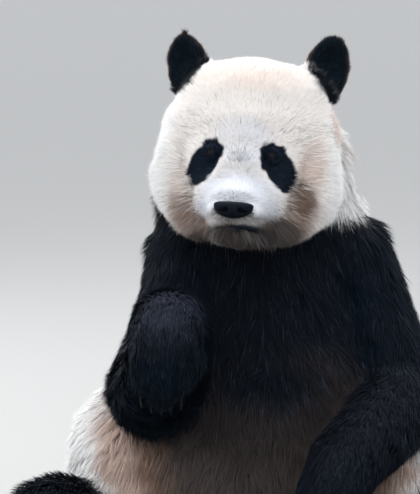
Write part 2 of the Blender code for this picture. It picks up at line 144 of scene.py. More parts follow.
CHEEK_RIM = (0.110, 0.132)       # the x over which the cheek turns to its pale rim
NOSE_RING = ((0.033, 0.0138), -0.108)            # half sizes and height of the dark ring round the nose
LIP_SPOT = ((0.018, -0.17, -0.1365), (0.026, 0.06, 0.0085))  # the dark side of the lips: middle and radii
EAR_FOOT = {                     # an ear's foot: height of its top, and its inner edge's x, slope and bend
    "left": (0.171, 0.087, 0.30, 3.4),
    "right": (0.159, 0.084, 0.10, 6.5),
}
# Where grey tufts grow among the white ones: share, middle (x on either side) and radii.
SPECKLES = (
    (0.15, (0.0, -0.15, -0.012), (0.032, 0.06, 0.026)),
    (0.16, (0.072, -0.10, 0.030), (0.040, 0.10, 0.026)),
    (0.02, (0.0, -0.12, 0.04), (0.09, 0.10, 0.06)),
    (0.45, (0.0, -0.20, -0.086), (0.032, 0.05, 0.0095)),
    (0.25, (0.080, -0.06, -0.112), (0.045, 0.12, 0.040)),
    (0.35, (0.030, -0.15, -0.128), (0.035, 0.08, 0.016)),
)
WHORL_SPECKLE = (0.58, (-0.002, -0.15, -0.020), (0.0170, 0.06, 0.0125))      # on the parting, off the middle

# Colours of the low belly towards the flanks: name, strength, and the x over which each comes in.
BELLY_BANDS = (("brown", 0.8, 0.13, 0.20), ("tan", 1.0, 0.19, 0.24), ("snow", 1.0, 0.25, 0.29))

# ---------------------------------------------------------------- the coat
# The coat's depth, the length and width of its tufts, and how closely their tips gather.
COAT = {
    "head": (0.022, 0.042, 0.0011, 0.30),
    "ear": (0.0065, 0.017, 0.0008, 0.10),
    "neck": (0.024, 0.048, 0.0012, 0.38),
    "trunk": (0.030, 0.060, 0.0014, 0.64),
    "upper_arm": (0.021, 0.046, 0.0012, 0.35),
    "forearm": (0.014, 0.038, 0.0011, 0.30),
    "forepaw": (0.009, 0.028, 0.0011, 0.45),
    "thigh": (0.026, 0.048, 0.0014, 0.40),
    "shank": (0.020, 0.038, 0.0012, 0.25),
    "hind_foot": (0.009, 0.019, 0.0010, 0.12),
    "tail": (0.013, 0.034, 0.0014, 0.45),
}
# Zones of the face, laid over the head's coat in this order: middle (x on either side), radii, coat.
FACE_ZONES = {
    "crown": ((0.0, 0.02, 0.13), (0.14, 0.11, 0.10), (0.015, 0.030, 0.0010, 0.20)),
    "forehead": ((0.0, -0.09, 0.05), (0.12, 0.09, 0.09), (0.011, 0.023, 0.0009, 0.15)),
    "cheek": ((0.115, -0.02, -0.06), (0.06, 0.10, 0.09), (0.021, 0.043, 0.0011, 0.30)),
    "jaw": ((0.055, -0.05, -0.15), (0.09, 0.08, 0.035), (0.021, 0.042, 0.0011, 0.35)),
    "brow": ((0.0, -0.13, -0.01), (0.05, 0.06, 0.035), (0.006, 0.013, 0.0009, 0.10)),
    "eye": ((0.060, -0.12, -0.024), (0.040, 0.05, 0.048), (0.0052, 0.011, 0.0009, 0.10)),
    "muzzle": ((0.0, -0.15, -0.092), (0.074, 0.085, 0.050), (0.0036, 0.0085, 0.0008, 0.10)),
    "chin": ((0.0, -0.12, -0.156), (0.075, 0.08, 0.024), (0.011, 0.030, 0.0010, 0.35)),
    "lips": ((0.0, -0.17, -0.130), (0.050, 0.05, 0.012), (0.0042, 0.010, 0.0008, 0.10)),
    "nose": ((0.0, -0.20, -0.104), (0.036, 0.03, 0.018), (0.0044, 0.0060, 0.0007, 0.05)),
}

# Coat pieces: their tufts at full density and the slot of their material. A piece covers the region in its
# name.
PIECES = {
    "coat_muzzle": {"tufts": 56000, "slot": "coat_white"},
    "coat_forehead": {"tufts": 64000, "slot": "coat_white"},
    "coat_cheeks": {"tufts": 65000, "slot": "coat_white"},
    "coat_nape": {"tufts": 45000, "slot": "coat_white"},
    "coat_ears": {"tufts": 22000, "slot": "coat_ear"},
    "coat_front": {"tufts": 60000, "slot": "coat_white"},
    "coat_back": {"tufts": 42000, "slot": "coat_white"},
    "coat_arm_right": {"tufts": 46000, "slot": "coat_black"},
    "coat_arm_left": {"tufts": 41000, "slot": "coat_black"},
    "coat_leg_right": {"tufts": 28000, "slot": "coat_leg"},
    "coat_leg_left": {"tufts": 26000, "slot": "coat_leg"},
    "coat_tail": {"tufts": 5000, "slot": "coat_white"},
}

# ---------------------------------------------------------------- the lie and shape of tufts
FLARE = {"neck": 0.35, "trunk": 0.30}            # how far the coat runs outwards there on its way down
TAIL_DROOP, LIMB_DROOP = 0.4, 0.30               # and how far it turns down on the tail and the limbs
TUFT_STEPS = np.array((0.0, 0.38, 1.0))          # the shares of a tuft's length where its rings of points lie
TUFT_PROFILE = np.array((0.85, 1.0, 0.0))        # and its widths there
TUFT_POINTS = 2 * len(TUFT_STEPS) - 1            # two points to a ring and one at the tip
LENGTH_SPREAD = (0.72, 1.12)     # range of a tuft's length, by the table's
WIDTH_SPREAD = (0.75, 1.25)      # and of its width
RISE_SPREAD = (0.74, 1.08)       # and of the share of the coat's depth that it fills
TIP_ANGLE = (0.16, 0.08)         # mean and spread of the angle from the skin at which its tip lies
TWIST = 0.9                      # how far a tuft's flat side turns about its length
PROUD_SHARE = 0.07               # the share of tufts that stand proud of the coat
PROUD_RISE = 1.28                # and how much steeper they rise
ROOT_SUNK = 0.0008               # how deep a tuft is rooted in the skin
FLOOR_CLEAR = 0.0012             # the lowest that a tuft may hang
FORM_SHARE = 0.62                # how far the light on a tuft follows the body's form, rather than its own
PATCH = 0.003                    # width of a tuft's place on the unwrap

# ---------------------------------------------------------------- the skin
GRAIN = 0.0066                   # grain of the skin's remesh
SINK_STEPS = 5                   # steps in which the skin sinks by the depth of the coat
PRESSED = 0.85                   # how flat the coat is pressed under the body
PRESSED_BELOW = 0.06             # and up to what height
PAW_REACH = 0.13                 # how far from the toes the pads of a paw lie at most
TOE_PAD = (0.0105, 0.013)        # half sizes of a toe's pad
TOE_PAD_BACK = 0.010             # and how far it lies behind the claw's root
# Pads of a paw's ball: place across it and along it, half width and half length. Sizes across the paw are in
# widths of the paw, the others in metres.
BALL_PADS = (
    (0.0, -0.056, 0.50, 0.021),
    (0.30, -0.066, 0.24, 0.022),
    (-0.30, -0.066, 0.24, 0.022),
)
PAD_SWELL = 0.006                # how far the pads stand out of the skin
BARE_LIDS = 1.15                 # how far the lids are bare, in sizes of the opening
BARE_NOSE = 0.88                 # and the muzzle, in sizes of the nose that covers it
BARE_LIPS = 0.0016               # half height of the bare line between the lips
BARE_FOOT = 0.004                # the height under which the body touches the floor and is bare

# ---------------------------------------------------------------- colours of tufts, gloss, claws and floor
GREYING = (0.35, 0.85)           # range of the grey in a grey tuft
FROSTING = (0.15, 0.50)          # of the cream in a frosted one
PAINTED_GLINT_RANGE = (0.4, 1.2)             # and of the painted glint in a light one of the dark coat
FROSTED_SHARE = 0.17             # the largest share of frosted tufts
LEAST_PAINTED_GLINT, MORE_PAINTED_GLINT = 0.05, 0.27             # share of tufts with a painted glint in the darkest coat, and what is added
BLUE_GLINT = (0.50, 0.72, 1.0)   # colour of the shine on the dark coat
COAT_FINISH = {                  # a slot's material: name, roughness, mottling, gloss and colour of its shine
    "coat_white": ("white coat", 0.74, 0.12, 0.10),
    "coat_ear": ("ear coat", 0.62, 0.30, 0.07, BLUE_GLINT),
    "coat_black": ("black coat", 0.55, 0.40, 0.07, BLUE_GLINT),
    "coat_leg": ("leg coat", 0.58, 0.40, 0.07, BLUE_GLINT),
}
DIMMEST_SKIN = 0.60              # share of its colour that the skin keeps below the darkest coat
DARK_SHEEN = 0.035               # soft light on the edges of the dark coat
PAINTED_GLINT_HAIR = np.array((0.026, 0.033, 0.048))     # colour of the painted glint on the lightest hairs of the dark coat
NOSE_GLINT = (0.60, 0.78, 1.0)   # colour of the shine on the nose
LEAST_CLAW = 0.0048              # the least radius of a claw's root
CLAW_DEPTH, CLAW_WIDTH = 1.12, 0.74              # a claw's depth and width, by its radius
SKY_COLOUR = (0.93, 0.96, 1.0)
FLOOR_RADIUS = 600.0             # far enough for the floor to fill the view behind

workshop = {}                    # the skin and its fields, once the skin has been made


# ---------------------------------------------------------------- small mathematics
def unit(vectors):
    return vectors / np.maximum(np.linalg.norm(vectors, axis=-1, keepdims=True), 1e-9)


def ease(low, high, values):
    """0 below low, 1 above high, and a smooth rise between."""
    share = np.clip((values - low) / (high - low), 0.0, 1.0)
    return share * share * (3.0 - 2.0 * share)


def fade(low, high, values):
    """1 below low, 0 above high, and a smooth fall between."""
    return 1.0 - ease(low, high, values)


def bell(values, width):
    return np.exp(-(values / width) ** 2)


def lengths(vectors):
    return np.linalg.norm(vectors, axis=-1)


def flattened(ways, normals):
    """Ways laid flat against a surface."""
    return unit(ways - normals * (ways * normals).sum(axis=1, keepdims=True))


def blob(points, middle, radii):
    """1 in the middle of an ellipsoid, one half at its surface and 0 a little beyond."""
    away = np.sqrt((((points - np.array(middle)) / np.array(radii)) ** 2).sum(axis=1))
    return fade(0.6, 1.4, away)


def mixed(under, over, weight):
    return under + (np.asarray(over) - under) * np.asarray(weight)[:, None]


def ripple(points, size, seed):
    """Smooth random values, mostly from -1 to 1, with swells of about the size given."""
    waves = 16
    rng = np.random.default_rng(seed)
    pitch = rng.uniform(0.6, 1.3, (waves, 1)) * 2.0 * math.pi / size
    phases = rng.uniform(0.0, 2.0 * math.pi, waves)
    return np.sin(points @ (unit(rng.normal(size=(waves, 3))) * pitch).T + phases).sum(axis=1) / 2.8


# ---------------------------------------------------------------- places read from the frame
def points_in(mesh):
    flat = np.empty(len(mesh.vertices) * 3, np.float32)
    mesh.vertices.foreach_get("co", flat)
    return flat.reshape(-1, 3).astype(float)


def triangles_in(mesh):
    mesh.calc_loop_triangles()
    flat = np.empty(len(mesh.loop_triangles) * 3, np.int32)
    mesh.loop_triangles.foreach_get("vertices", flat)
    return flat.reshape(-1, 3)


def points_of(name):
    return points_in(NODES[name].data)


def middle_of(name):
    low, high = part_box(name)
    return (np.array(low) + np.array(high)) / 2.0


def face_frame():
    """The middle of the head and its axes, from where the eyes and the nose sit."""
    across = unit(middle_of("eye_left") - middle_of("eye_right"))
    brow = (middle_of("eye_left") + middle_of("eye_right")) / 2.0
    slope = middle_of("nose") - brow
    slope = unit(slope - across * slope.dot(across))
    _, backwards, upwards = unit(NOSE_MIDDLE - BETWEEN_EYES)
    square = np.cross(across, slope)
    axes = np.array((across, backwards * slope - upwards * square, upwards * slope + backwards * square))
    return brow - BETWEEN_EYES @ axes, axes


FACE_MIDDLE, FACE_AXES = face_frame()


def to_face(points):
    return (points - FACE_MIDDLE) @ FACE_AXES.T


def from_face(points):
    return points @ FACE_AXES + FACE_MIDDLE


def fold(face):
    """Face coordinates with the right half laid over the left."""
    return np.column_stack((np.abs(face[:, 0]), face[:, 1:]))


def joint_between(upper, lower):
    """The middle of the faces where two nodes meet."""
    here, there = points_of(upper), points_of(lower)
    return here[lengths(here[:, None] - there[None]).min(axis=1) < MEETING_GAP].mean(axis=0)


def limb_line(nodes):
    """The places of a limb's root, its two joints and its tip."""
    first, second = joint_between(nodes[0], nodes[1]), joint_between(nodes[1], nodes[2])
    root = first + 1.8 * (points_of(nodes[0]).mean(axis=0) - first)
    tip = np.mean([middle_of(f"claw_{nodes[2]}_{toe}") for toe in range(1, TOES + 1)], axis=0)
    return np.array((root, first, second, tip))


def along_line(points, line):
    """The way a limb runs at each point: its lengths' directions, weighed by how near they are."""
    total = np.zeros_like(points)
    for start, end in zip(line[:-1], line[1:]):
        run = end - start
        share = np.clip((points - start) @ run / run.dot(run), 0.0, 1.0)
        away = lengths(points - start - share[:, None] * run)
        total += unit(run) / (away[:, None] ** 4 + 1e-7)
    return unit(total)


def add_object(name, data):
    thing = bpy.data.objects.new(name, data)
    bpy.context.scene.collection.objects.link(thing)
    return thing


# ---------------------------------------------------------------- the skin as points and triangles
class Net:
    """The skin's points and triangles, with the sums that smoothing and growing need."""

    def __init__(self, mesh):
        self.co = points_in(mesh)
        self.tris = triangles_in(mesh)
        pairs = np.sort(np.concatenate((self.tris[:, :2], self.tris[:, 1:], self.tris[:, ::2])), axis=1)
        self.edges = np.unique(pairs, axis=0)
        self.links = np.bincount(self.edges.ravel(), minlength=len(self.co))

    def crosses(self):
        a, b, c = (self.co[self.tris[:, k]] for k in range(3))
        return np.cross(b - a, c - a)

    def normals(self):
        crosses = self.crosses()
        total = np.zeros_like(self.co)
        for corner in range(3):
            for axis in range(3):
                total[:, axis] += np.bincount(self.tris[:, corner], crosses[:, axis], len(self.co))
        return unit(total)

    def around(self, values):
        """The mean of the neighbours' values at each point."""
        total = np.zeros_like(values)
        start, end = self.edges.T
        for axis in range(values.shape[1]):
            total[:, axis] = np.bincount(start, values[end, axis], len(self.co))
            total[:, axis] += np.bincount(end, values[start, axis], len(self.co))
        return total / self.links[:, None]

    def spread(self, values, rounds):
        for _ in range(rounds):
            values = values * 0.4 + self.around(values) * 0.6
        return values

    def relax(self, rounds):
        """Smooths the shape without letting it shrink."""
        for _ in range(rounds):
            for pull in (0.50, -0.52):
                self.co += (self.around(self.co) - self.co) * pull


def closed_flesh():
    """One closed skin over all the nodes of flesh, finer on the face."""
    bm = bmesh.new()
    for name in FLESH + ["eye_right", "eye_left", "nose"]:
        bm.from_mesh(NODES[name].data)
    bmesh.ops.remove_doubles(bm, verts=bm.verts, dist=1e-5)
    mesh = bpy.data.meshes.new("flesh")
    bm.to_mesh(mesh)
    bm.free()
    rough = add_object("flesh", mesh)
    remesh = rough.modifiers.new("one skin", "REMESH")
    remesh.mode = "VOXEL"
    remesh.voxel_size = GRAIN
    soften = rough.modifiers.new("soften", "SMOOTH")
    soften.factor = 0.5
    soften.iterations = 6
    bpy.context.view_layer.update()
    closed = bpy.data.meshes.new_from_object(rough.evaluated_get(bpy.context.evaluated_depsgraph_get()))
    bpy.data.objects.remove(rough, do_unlink=True)
    bm = bmesh.new()
    bm.from_mesh(closed)
    keep_largest(bm)
    bmesh.ops.triangulate(bm, faces=bm.faces)
    refine(bm, lambda face: blob(face, *FINE_FACE))
    refine(bm, lambda face: blob(np.abs(face) * (1, -1, -1), *FINE_EYES) + blob(face, *FINE_MOUTH))
    bm.to_mesh(closed)
    bm.free()
    return closed


def keep_largest(bm):
    islands = []
    seen = set()
    for first in bm.verts:
        if first in seen:
            continue
        island = [first]
        seen.add(first)
        for vert in island:
            for edge in vert.link_edges:
                other = edge.other_vert(vert)
                if other not in seen:
                    seen.add(other)
                    island.append(other)
        islands.append(island)
    islands.sort(key=len)
    for island in islands[:-1]:
        bmesh.ops.delete(bm, geom=island, context="VERTS")


def refine(bm, wanted):
    """Halves the edges wherever a function of face coordinates is over one half."""
    bm.verts.index_update()
    chosen = wanted(to_face(np.array([vert.co for vert in bm.verts]))) > 0.5
    edges = [edge for edge in bm.edges if all(chosen[vert.index] for vert in edge.verts)]
    bmesh.ops.subdivide_edges(bm, edges=edges, cuts=1, use_grid_fill=True)
    bmesh.ops.triangulate(bm, faces=[face for face in bm.faces if len(face.verts) > 3])


def nearest_nodes(points):
    """For each point, the number in FLESH of the node that lies nearest."""
    corners, triangles, owners = [], [], []
    for number, name in enumerate(FLESH):
        triangles += (triangles_in(NODES[name].data) + len(corners)).tolist()
        corners += points_of(name).tolist()
        owners += [number] * (len(triangles) - len(owners))
    tree = BVHTree.FromPolygons(corners, triangles)
    return np.array(owners)[[tree.find_nearest(Vector(point))[2] for point in points]]


# ---------------------------------------------------------------- what grows where
def kind_of(node):
    return node.removesuffix("_right").removesuffix("_left")


def owned_by(owner, *nodes):
    """Where the nearest node is one of those named."""
    return np.isin(owner, [FLESH.index(node) for node in nodes])


def coat_field(net, owner, face):
    """Depth of the coat, length and width of the tufts, and their hold, at each point of the skin."""
    coat = net.spread(np.array([COAT[kind_of(name)] for name in FLESH])[owner], 24)
    zoned = np.tile(np.array(COAT["head"]), (len(coat), 1))
    folded = fold(face)
    for middle, radii, values in FACE_ZONES.values():
        zoned = mixed(zoned, values, blob(folded, middle, radii))
    on_head = net.spread(owned_by(owner, "head").astype(float)[:, None], 10)[:, 0]
    on_ears = net.spread(owned_by(owner, "ear_right", "ear_left").astype(float)[:, None], 3)[:, 0]
    return mixed(mixed(coat, zoned, on_head), COAT["ear"], on_ears)


def lie_field(net, owner, face, normal):
    """The way the coat lies: away from the nose and brow on the head, down the body and along the limbs."""
    high = ease(-0.06, 0.0, face[:, 2])[:, None]
    source = WHORL * high + NOSE_SOURCE * (1.0 - high)
    lie = unit(face - source) + (0.0, 0.0, -0.25) * (1.0 - high)
    lie = mixed(lie, (0.0, 0.3, -1.0), blob(face, (0.0, -0.13, -0.158), (0.065, 0.08, 0.026))) @ FACE_AXES
    outwards = unit((net.co - (0.0, 0.04, 0.0)) * (1.0, 1.0, 0.0))      # from the line of the spine
    down = np.array((0.0, 0.0, -1.0))
    for number, name in enumerate(FLESH):
        mine = owner == number
        if name in FLARE:
            lie[mine] = down + FLARE[name] * outwards[mine]
        elif name == "tail":
            lie[mine] = unit(middle_of("tail") - joint_between("tail", "trunk")) + TAIL_DROOP * down
        elif kind_of(name) == "ear":
            lie[mine] = unit(net.co[mine] - from_face(EAR_SOURCE * (np.sign(middle_of(name)[0]), 1.0, 1.0)))
    for limb, nodes in LIMBS.items():
        mine = owned_by(owner, *nodes)
        lie[mine] = along_line(net.co[mine], workshop["lines"][limb]) + LIMB_DROOP * down
    for _ in range(3):
        lie = net.spread(flattened(lie, normal), 8)
    return flattened(lie, normal)


def eye_frame(side):
    """An eye's middle, its radius and the ways it looks, across and up, in the row's frame."""
    name = "eye_right" if side < 0 else "eye_left"
    low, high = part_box(name)
    radius = min(high[axis] - low[axis] for axis in range(3)) / 2.0
    gaze = unit(np.array(GAZE) * (side, 1.0, 1.0))
    across = unit(np.cross((0.0, 0.0, 1.0), gaze) - (0.0, 0.0, side * EYE_SLANT))
    across = unit(across - gaze * across.dot(gaze))
    upwards = np.cross(across, gaze)
    upwards *= np.sign(upwards[2])
    return middle_of(name), radius, gaze @ FACE_AXES, across @ FACE_AXES, upwards @ FACE_AXES


def eye_opening(points, side, settings):
    """How far out of an eye's opening each point lies: under 1 is inside it. Also its distance and facing."""
    middle, radius, gaze, across, upwards = eye_frame(side)
    away = points - middle
    distance = lengths(away)
    ray = away / np.maximum(distance, 1e-6)[:, None]
    wide, tall = settings.eye_opening_width / 2.0, settings.eye_opening_height / 2.0
    out = np.sqrt((ray @ across * radius / wide) ** 2 + (ray @ upwards * radius / tall) ** 2)
    return np.where(ray @ gaze > 0.1, out, 9.0), distance, ray


def shape_lids(net, settings):
    """Wraps the skin round each eyeball as lids, open in an almond."""
    for side in SIDES.values():
        middle, radius, _, _, _ = eye_frame(side)
        out, distance, ray = eye_opening(net.co, side, settings)
        near = fade(radius + 0.008, radius + 0.018, distance)
        rim = 0.6 * settings.lid_thickness * bell(out - 1.35, 0.30)
        lid = radius + settings.lid_thickness + rim
        aim = lid + (radius * 0.80 - lid) * fade(0.84, 1.06, out)
        hold = near * np.where(distance < aim, 1.0, fade(1.5, 2.6, out))
        wanted = middle + ray * (distance + (aim - distance) * hold)[:, None]
        net.co = np.where((out < 9.0)[:, None], wanted, net.co)


def lip_line(face):
    """Height above the line of the lips, and how far along it the groove still runs."""
    across = np.abs(face[:, 0])
    height = face[:, 2] - (LIP_HEIGHT - LIP_SLOPE * across)
    return height, fade(LIP_REACH * 0.6, LIP_REACH, across) * fade(-0.11, -0.08, face[:, 1])


def shape_mouth(net, face, normal):
    height, runs = lip_line(face)
    groove = sum(depth * bell(height - at, width) for depth, at, width in LIP_FOLDS)
    between = ease(LIP_HEIGHT - 0.002, LIP_HEIGHT + 0.002, face[:, 2]) * fade(-0.121, -0.117, face[:, 2])
    philtrum = PHILTRUM[0] * bell(face[:, 0], PHILTRUM[1]) * between * (face[:, 1] < -0.15)
    net.co -= normal * (groove * runs + philtrum)[:, None]


def nose_form():
    """The middle of the nose in face coordinates and its half sizes, before it wraps round the muzzle."""
    corners = to_face(points_of("nose"))
    low, high = corners.min(axis=0), corners.max(axis=0)
    half = (high - low) / 2.0
    half[1] -= NOSE_WRAP * half[0] ** 2 / 2.0
    return np.array((0.0, low[1] + half[1], (low[2] + high[2]) / 2.0)), half


def shape_nose_bed(net, face):
    """Brings the skin just behind the rim of the nose pad, so that the pad's whole outline stands proud."""
    middle, half = nose_form()
    away = lengths((face - middle)[:, [0, 2]] / half[[0, 2]])
    hold = fade(1.0, 1.4, away) * (face[:, 1] < middle[1] + 0.05)
    rim = middle[1] + NOSE_RIM * half[1] + NOSE_WRAP * face[:, 0] ** 2
    net.co += ((rim + NOSE_BED - face[:, 1]) * hold)[:, None] * FACE_AXES[1]


def paw_frame(paw):
    """The roots of a paw's claws, and the ways across the paw, along it and out of its sole."""
    curves = [claw_line(f"claw_{paw}_{toe}") for toe in range(1, TOES + 1)]
    roots = np.array([curve[0] for curve in curves])
    across = unit(roots[-1] - roots[0])
    along = unit(np.mean([curve[1] - curve[0] for curve in curves], axis=0))
    along = unit(along - across * along.dot(across))
    bend = np.mean([curve[2] - 2.0 * curve[1] + curve[0] for curve in curves], axis=0)
    sole = np.cross(across, along)
    return roots, across, along, sole * np.sign(sole.dot(bend))


def pad_field(points, normal):
    """1 on the bare leather pads of the soles and palms."""
    pads = np.zeros(len(points))
    for paw in PAWS:
        roots, across, along, sole = paw_frame(paw)
        middle = roots.mean(axis=0)
        near = (lengths(points - middle) < PAW_REACH) & (normal @ sole > 0.15)
        flat = np.stack(((points - middle) @ across, (points - middle) @ along), axis=1)
        width = lengths(roots[-1] - roots[0])
        shapes = [
            (((root - middle) @ across, (root - middle) @ along - TOE_PAD_BACK), TOE_PAD) for root in roots]
        shapes += [((width * at, back), (width * wide, long)) for at, back, wide, long in BALL_PADS]
        for place, halves in shapes:
            out = np.sqrt((((flat - place) / halves) ** 2).sum(axis=1))
            pads = np.maximum(pads, near * fade(0.80, 1.15, out))
    return pads


# ---------------------------------------------------------------- markings
def patch_reach(face):
    """How far out of the nearer eye patch each point lies: under 1 is inside it."""
    flat = np.stack((np.abs(face[:, 0]), face[:, 2]), axis=1) - PATCH_MIDDLE
    along = flat @ PATCH_AXIS / PATCH_HALVES[0]
    over = flat @ np.array((-PATCH_AXIS[1], PATCH_AXIS[0])) / PATCH_HALVES[1]
    ragged = 0.05 * ripple(face, 0.020, 21)
    return np.sqrt(along ** 2 + over ** 2) + ragged + 9.0 * (face[:, 1] > -0.03)


def face_marking(face, colours):
    """Colour of the head's coat from face coordinates."""
    folded = fold(face)
    x, y, z = folded.T
    left = face[:, 0] > 0.0
    cloud = ripple(face, 0.07, 5)

    def stained(colour, stains):
        for name, strength, clouds, sides, middle, radii in stains:
            weight = np.clip(strength + clouds * cloud, 0.0, 1.0) * blob(folded, middle, radii)
            colour = mixed(colour, getattr(colours, name), weight * (left | (sides == "both")))
        return colour

    colour = stained(np.tile(colours.cream, (len(face), 1)), CHEEK_STAINS)
    rim = ease(*CHEEK_RIM, x - 0.014 * left) * ease(-0.13, -0.11, z)       # further out on the left
    colour = stained(mixed(colour, colours.snow, 0.9 * rim), MUZZLE_STAINS)
    (wide, tall), height = NOSE_RING
    ring = np.sqrt((x / wide) ** 2 + ((z - height) / tall) ** 2)
    foot = fade(1.0, 1.6, ring) * ease(0.106, 0.118, -z) + fade(1.00, 1.08, ring)
    colour = mixed(colour, colours.soot, 0.9 * np.minimum(foot, 1.0) * (y < -0.14))
    fringe = ease(0.146, 0.164, -z + 0.004 * ripple(face, 0.02, 7))
    colour = mixed(colour, colours.soot, 0.75 * fringe * (y < 0.0))
    height, runs = lip_line(face)
    colour = mixed(colour, colours.soot, runs * bell(height + 0.001, 0.0040))
    colour = mixed(colour, colours.patch, 0.9 * blob(face, *LIP_SPOT) * (y < -0.10))
    colour = mixed(colour, colours.snow, 0.85 * ease(0.015, 0.065, y))
    top, start, slope, bend = np.where(left[:, None], EAR_FOOT["left"], EAR_FOOT["right"]).T
    drop = top - z
    outside = x - (start + slope * drop + bend * drop ** 2) + 0.002 * ripple(face, 0.012, 6)
    at_ears = ease(-0.002, 0.002, outside) * ease(0.090, 0.094, z) * (x < 0.165)
    colour = mixed(colour, colours.ear, at_ears * ease(-0.080, -0.070, y))
    return mixed(colour, colours.patch, fade(0.93, 1.05, patch_reach(face)))


def body_marking(place, colours):
    """Colour of the trunk's coat: a black yoke over a brown belly, tan towards white flanks and back."""
    x, y, z = place.T
    x = np.abs(x)
    wander = 0.018 * ripple(place, 0.16, 8)
    # The belly is brown with dirt and, high up under the arms, darker with painted shade: umber there,
    # turning to dusk lower down and further out.
    dirt_and_shade_mix = fade(0.20, 0.33, z + wander) * (0.55 + 0.45 * ease(0.03, 0.10, x))
    belly = mixed(np.tile(colours.umber, (len(place), 1)), colours.dusk, dirt_and_shade_mix)
    low = fade(0.29, 0.35, z)
    for name, strength, inner, outer in BELLY_BANDS:
        belly = mixed(belly, getattr(colours, name), strength * ease(inner, outer, x + wander) * low)
    edge = -0.06 - 0.6 * (0.30 - z) + wander     # the y where the flank turns white
    colour = mixed(belly, colours.snow, ease(-0.02, 0.03, y - edge))
    front = fade(-0.10, -0.02, y)
    yoke_low = 0.50 - 0.115 * front + wander
    soft = 0.010 + 0.030 * front
    return mixed(colour, colours.charcoal, ease(-soft, soft, z - yoke_low))


def neck_marking(place, colours):
    """The neck is white; the yoke climbs it on the right and in front."""
    x, y, z = place.T
    tan = 0.5 * ease(0.11, 0.14, x) * ease(0.74, 0.80, z) * fade(0.02, 0.05, y)
    colour = mixed(np.tile(colours.snow, (len(place), 1)), colours.tan, tan)
    yoke = 0.652 + 0.080 * fade(-0.16, -0.09, x) + 0.05 * fade(-0.10, -0.06, y)
    return mixed(colour, colours.charcoal, fade(-0.006, 0.006, z - yoke + 0.010 * ripple(place, 0.10, 9)))


def ear_marking(face, normal, colours):
    """A dark ear whose edge is lit brown with painted rim light from behind."""
    # Painted rim light: brown where the ear turns edge-on to the front, on its upper part.
    edge = ease(0.62, 0.95, np.sqrt(np.clip(1.0 - (normal @ FACE_AXES[1]) ** 2, 0.0, 1.0)))
    edge = edge * ease(0.10, 0.15, face[:, 2])
    return mixed(np.tile(colours.ear, (len(face), 1)), colours.rim, 0.85 * edge)


def marking_field(net, owner, face, pads, colours):
    """Colour of the coat at each point of the skin."""
    normals = net.normals()
    black, umber = np.array(colours.charcoal), np.array(colours.umber)
    # Where a limb faces up it is made lighter and browner with umber: painted light from above.
    limb = black + umber * 0.30 * ease(0.0, 0.8, normals[:, 2:])
    # Forearms and forepaws are dimmed with painted shade and lit with a painted sheen above 0.48 m, where the
    # raised hand's back faces the light from above.
    raised = limb * 0.8 + np.array(colours.glossy) * ease(0.48, 0.56, net.co[:, 2:])
    plain = {
        "trunk": body_marking(net.co, colours),
        "neck": neck_marking(net.co, colours),
        "tail": np.array(colours.snow),
        "ear": ear_marking(face, normals, colours),
        "thigh": umber * 0.5 + black * 0.5,
        "shank": black,
        "hind_foot": black,
        "upper_arm": limb,
        "forearm": raised,
        "forepaw": raised,
    }
    kinds = np.array([kind_of(name) for name in FLESH])[owner]
    colour = face_marking(face, colours)
    for kind, values in plain.items():
        colour = np.where((kinds == kind)[:, None], values, colour)
    return mixed(net.spread(colour, 1), colours.leather, pads)


def regions_of(owner, net, face):
    """The name of the coat piece's region that each point of the skin belongs to."""
    region = np.full(len(owner), "back", dtype="<U12")
    region[net.co[:, 1] < 0.0] = "front"
    for limb, nodes in LIMBS.items():
        region[owned_by(owner, *nodes)] = limb
    region[owned_by(owner, "tail")] = "tail"
    region[owned_by(owner, "neck")] = "nape"
    on_head = owned_by(owner, "head")
    region[on_head] = "cheeks"
    region[on_head & (face[:, 2] > FOREHEAD_FOOT)] = "forehead"
    region[on_head & (face[:, 1] > NAPE_FRONT)] = "nape"
    region[on_head & ((blob(face, *MUZZLE_REGION) > 0.5) | (patch_reach(face) < 1.25))] = "muzzle"
    region[owned_by(owner, "ear_right", "ear_left")] = "ears"
    return region


def make_skin(settings, colours):
    """Closes, sinks and sculpts the skin, and works out what grows on it."""
    workshop["lines"] = {limb: limb_line(nodes) for limb, nodes in LIMBS.items()}
    net = Net(closed_flesh())
    net.relax(4)
    owner = nearest_nodes(net.co)
    coat = coat_field(net, owner, to_face(net.co))
    outer = net.co.copy()
    for _ in range(SINK_STEPS):
        normal = net.normals()
        pressed = 1.0 - PRESSED * ease(0.3, 0.8, -normal[:, 2]) * (net.co[:, 2] < PRESSED_BELOW)
        net.co -= normal * (coat[:, 0] * pressed / SINK_STEPS)[:, None]
        net.relax(1)
    shape_nose_bed(net, to_face(net.co))
    shape_mouth(net, to_face(net.co), net.normals())
    shape_lids(net, settings)
    pads = pad_field(net.co, net.normals())
    net.co += net.normals() * (PAD_SWELL * pads)[:, None]
    normal = net.normals()
    face = to_face(net.co)
    workshop.update({
        "net": net,
        "normal": normal,
        "coat": coat,
        "lie": part_round_eyes(net, lie_field(net, owner, face, normal), normal),
        "colour": marking_field(net, owner, face, pads, colours),
        "region": regions_of(owner, net, face),
        "bare": bare_field(net, face, pads, outer, settings),
        "speckle": speckle_field(face, owner),
        "headness": owned_by(owner, "head").astype(float),
        "pads": pads,
    })


def part_round_eyes(net, lie, normal):
    """Turns the lie of the coat aside before an eye, so that it runs round it."""
    for side in SIDES.values():
        middle = eye_frame(side)[0]
        towards = unit(middle - net.co)
        near = fade(*EYE_PARTING, lengths(net.co - middle))
        heading = np.maximum((lie * towards).sum(axis=1), 0.0) + 0.35
        lie = lie - towards * (heading * near)[:, None]
    return flattened(lie, normal)


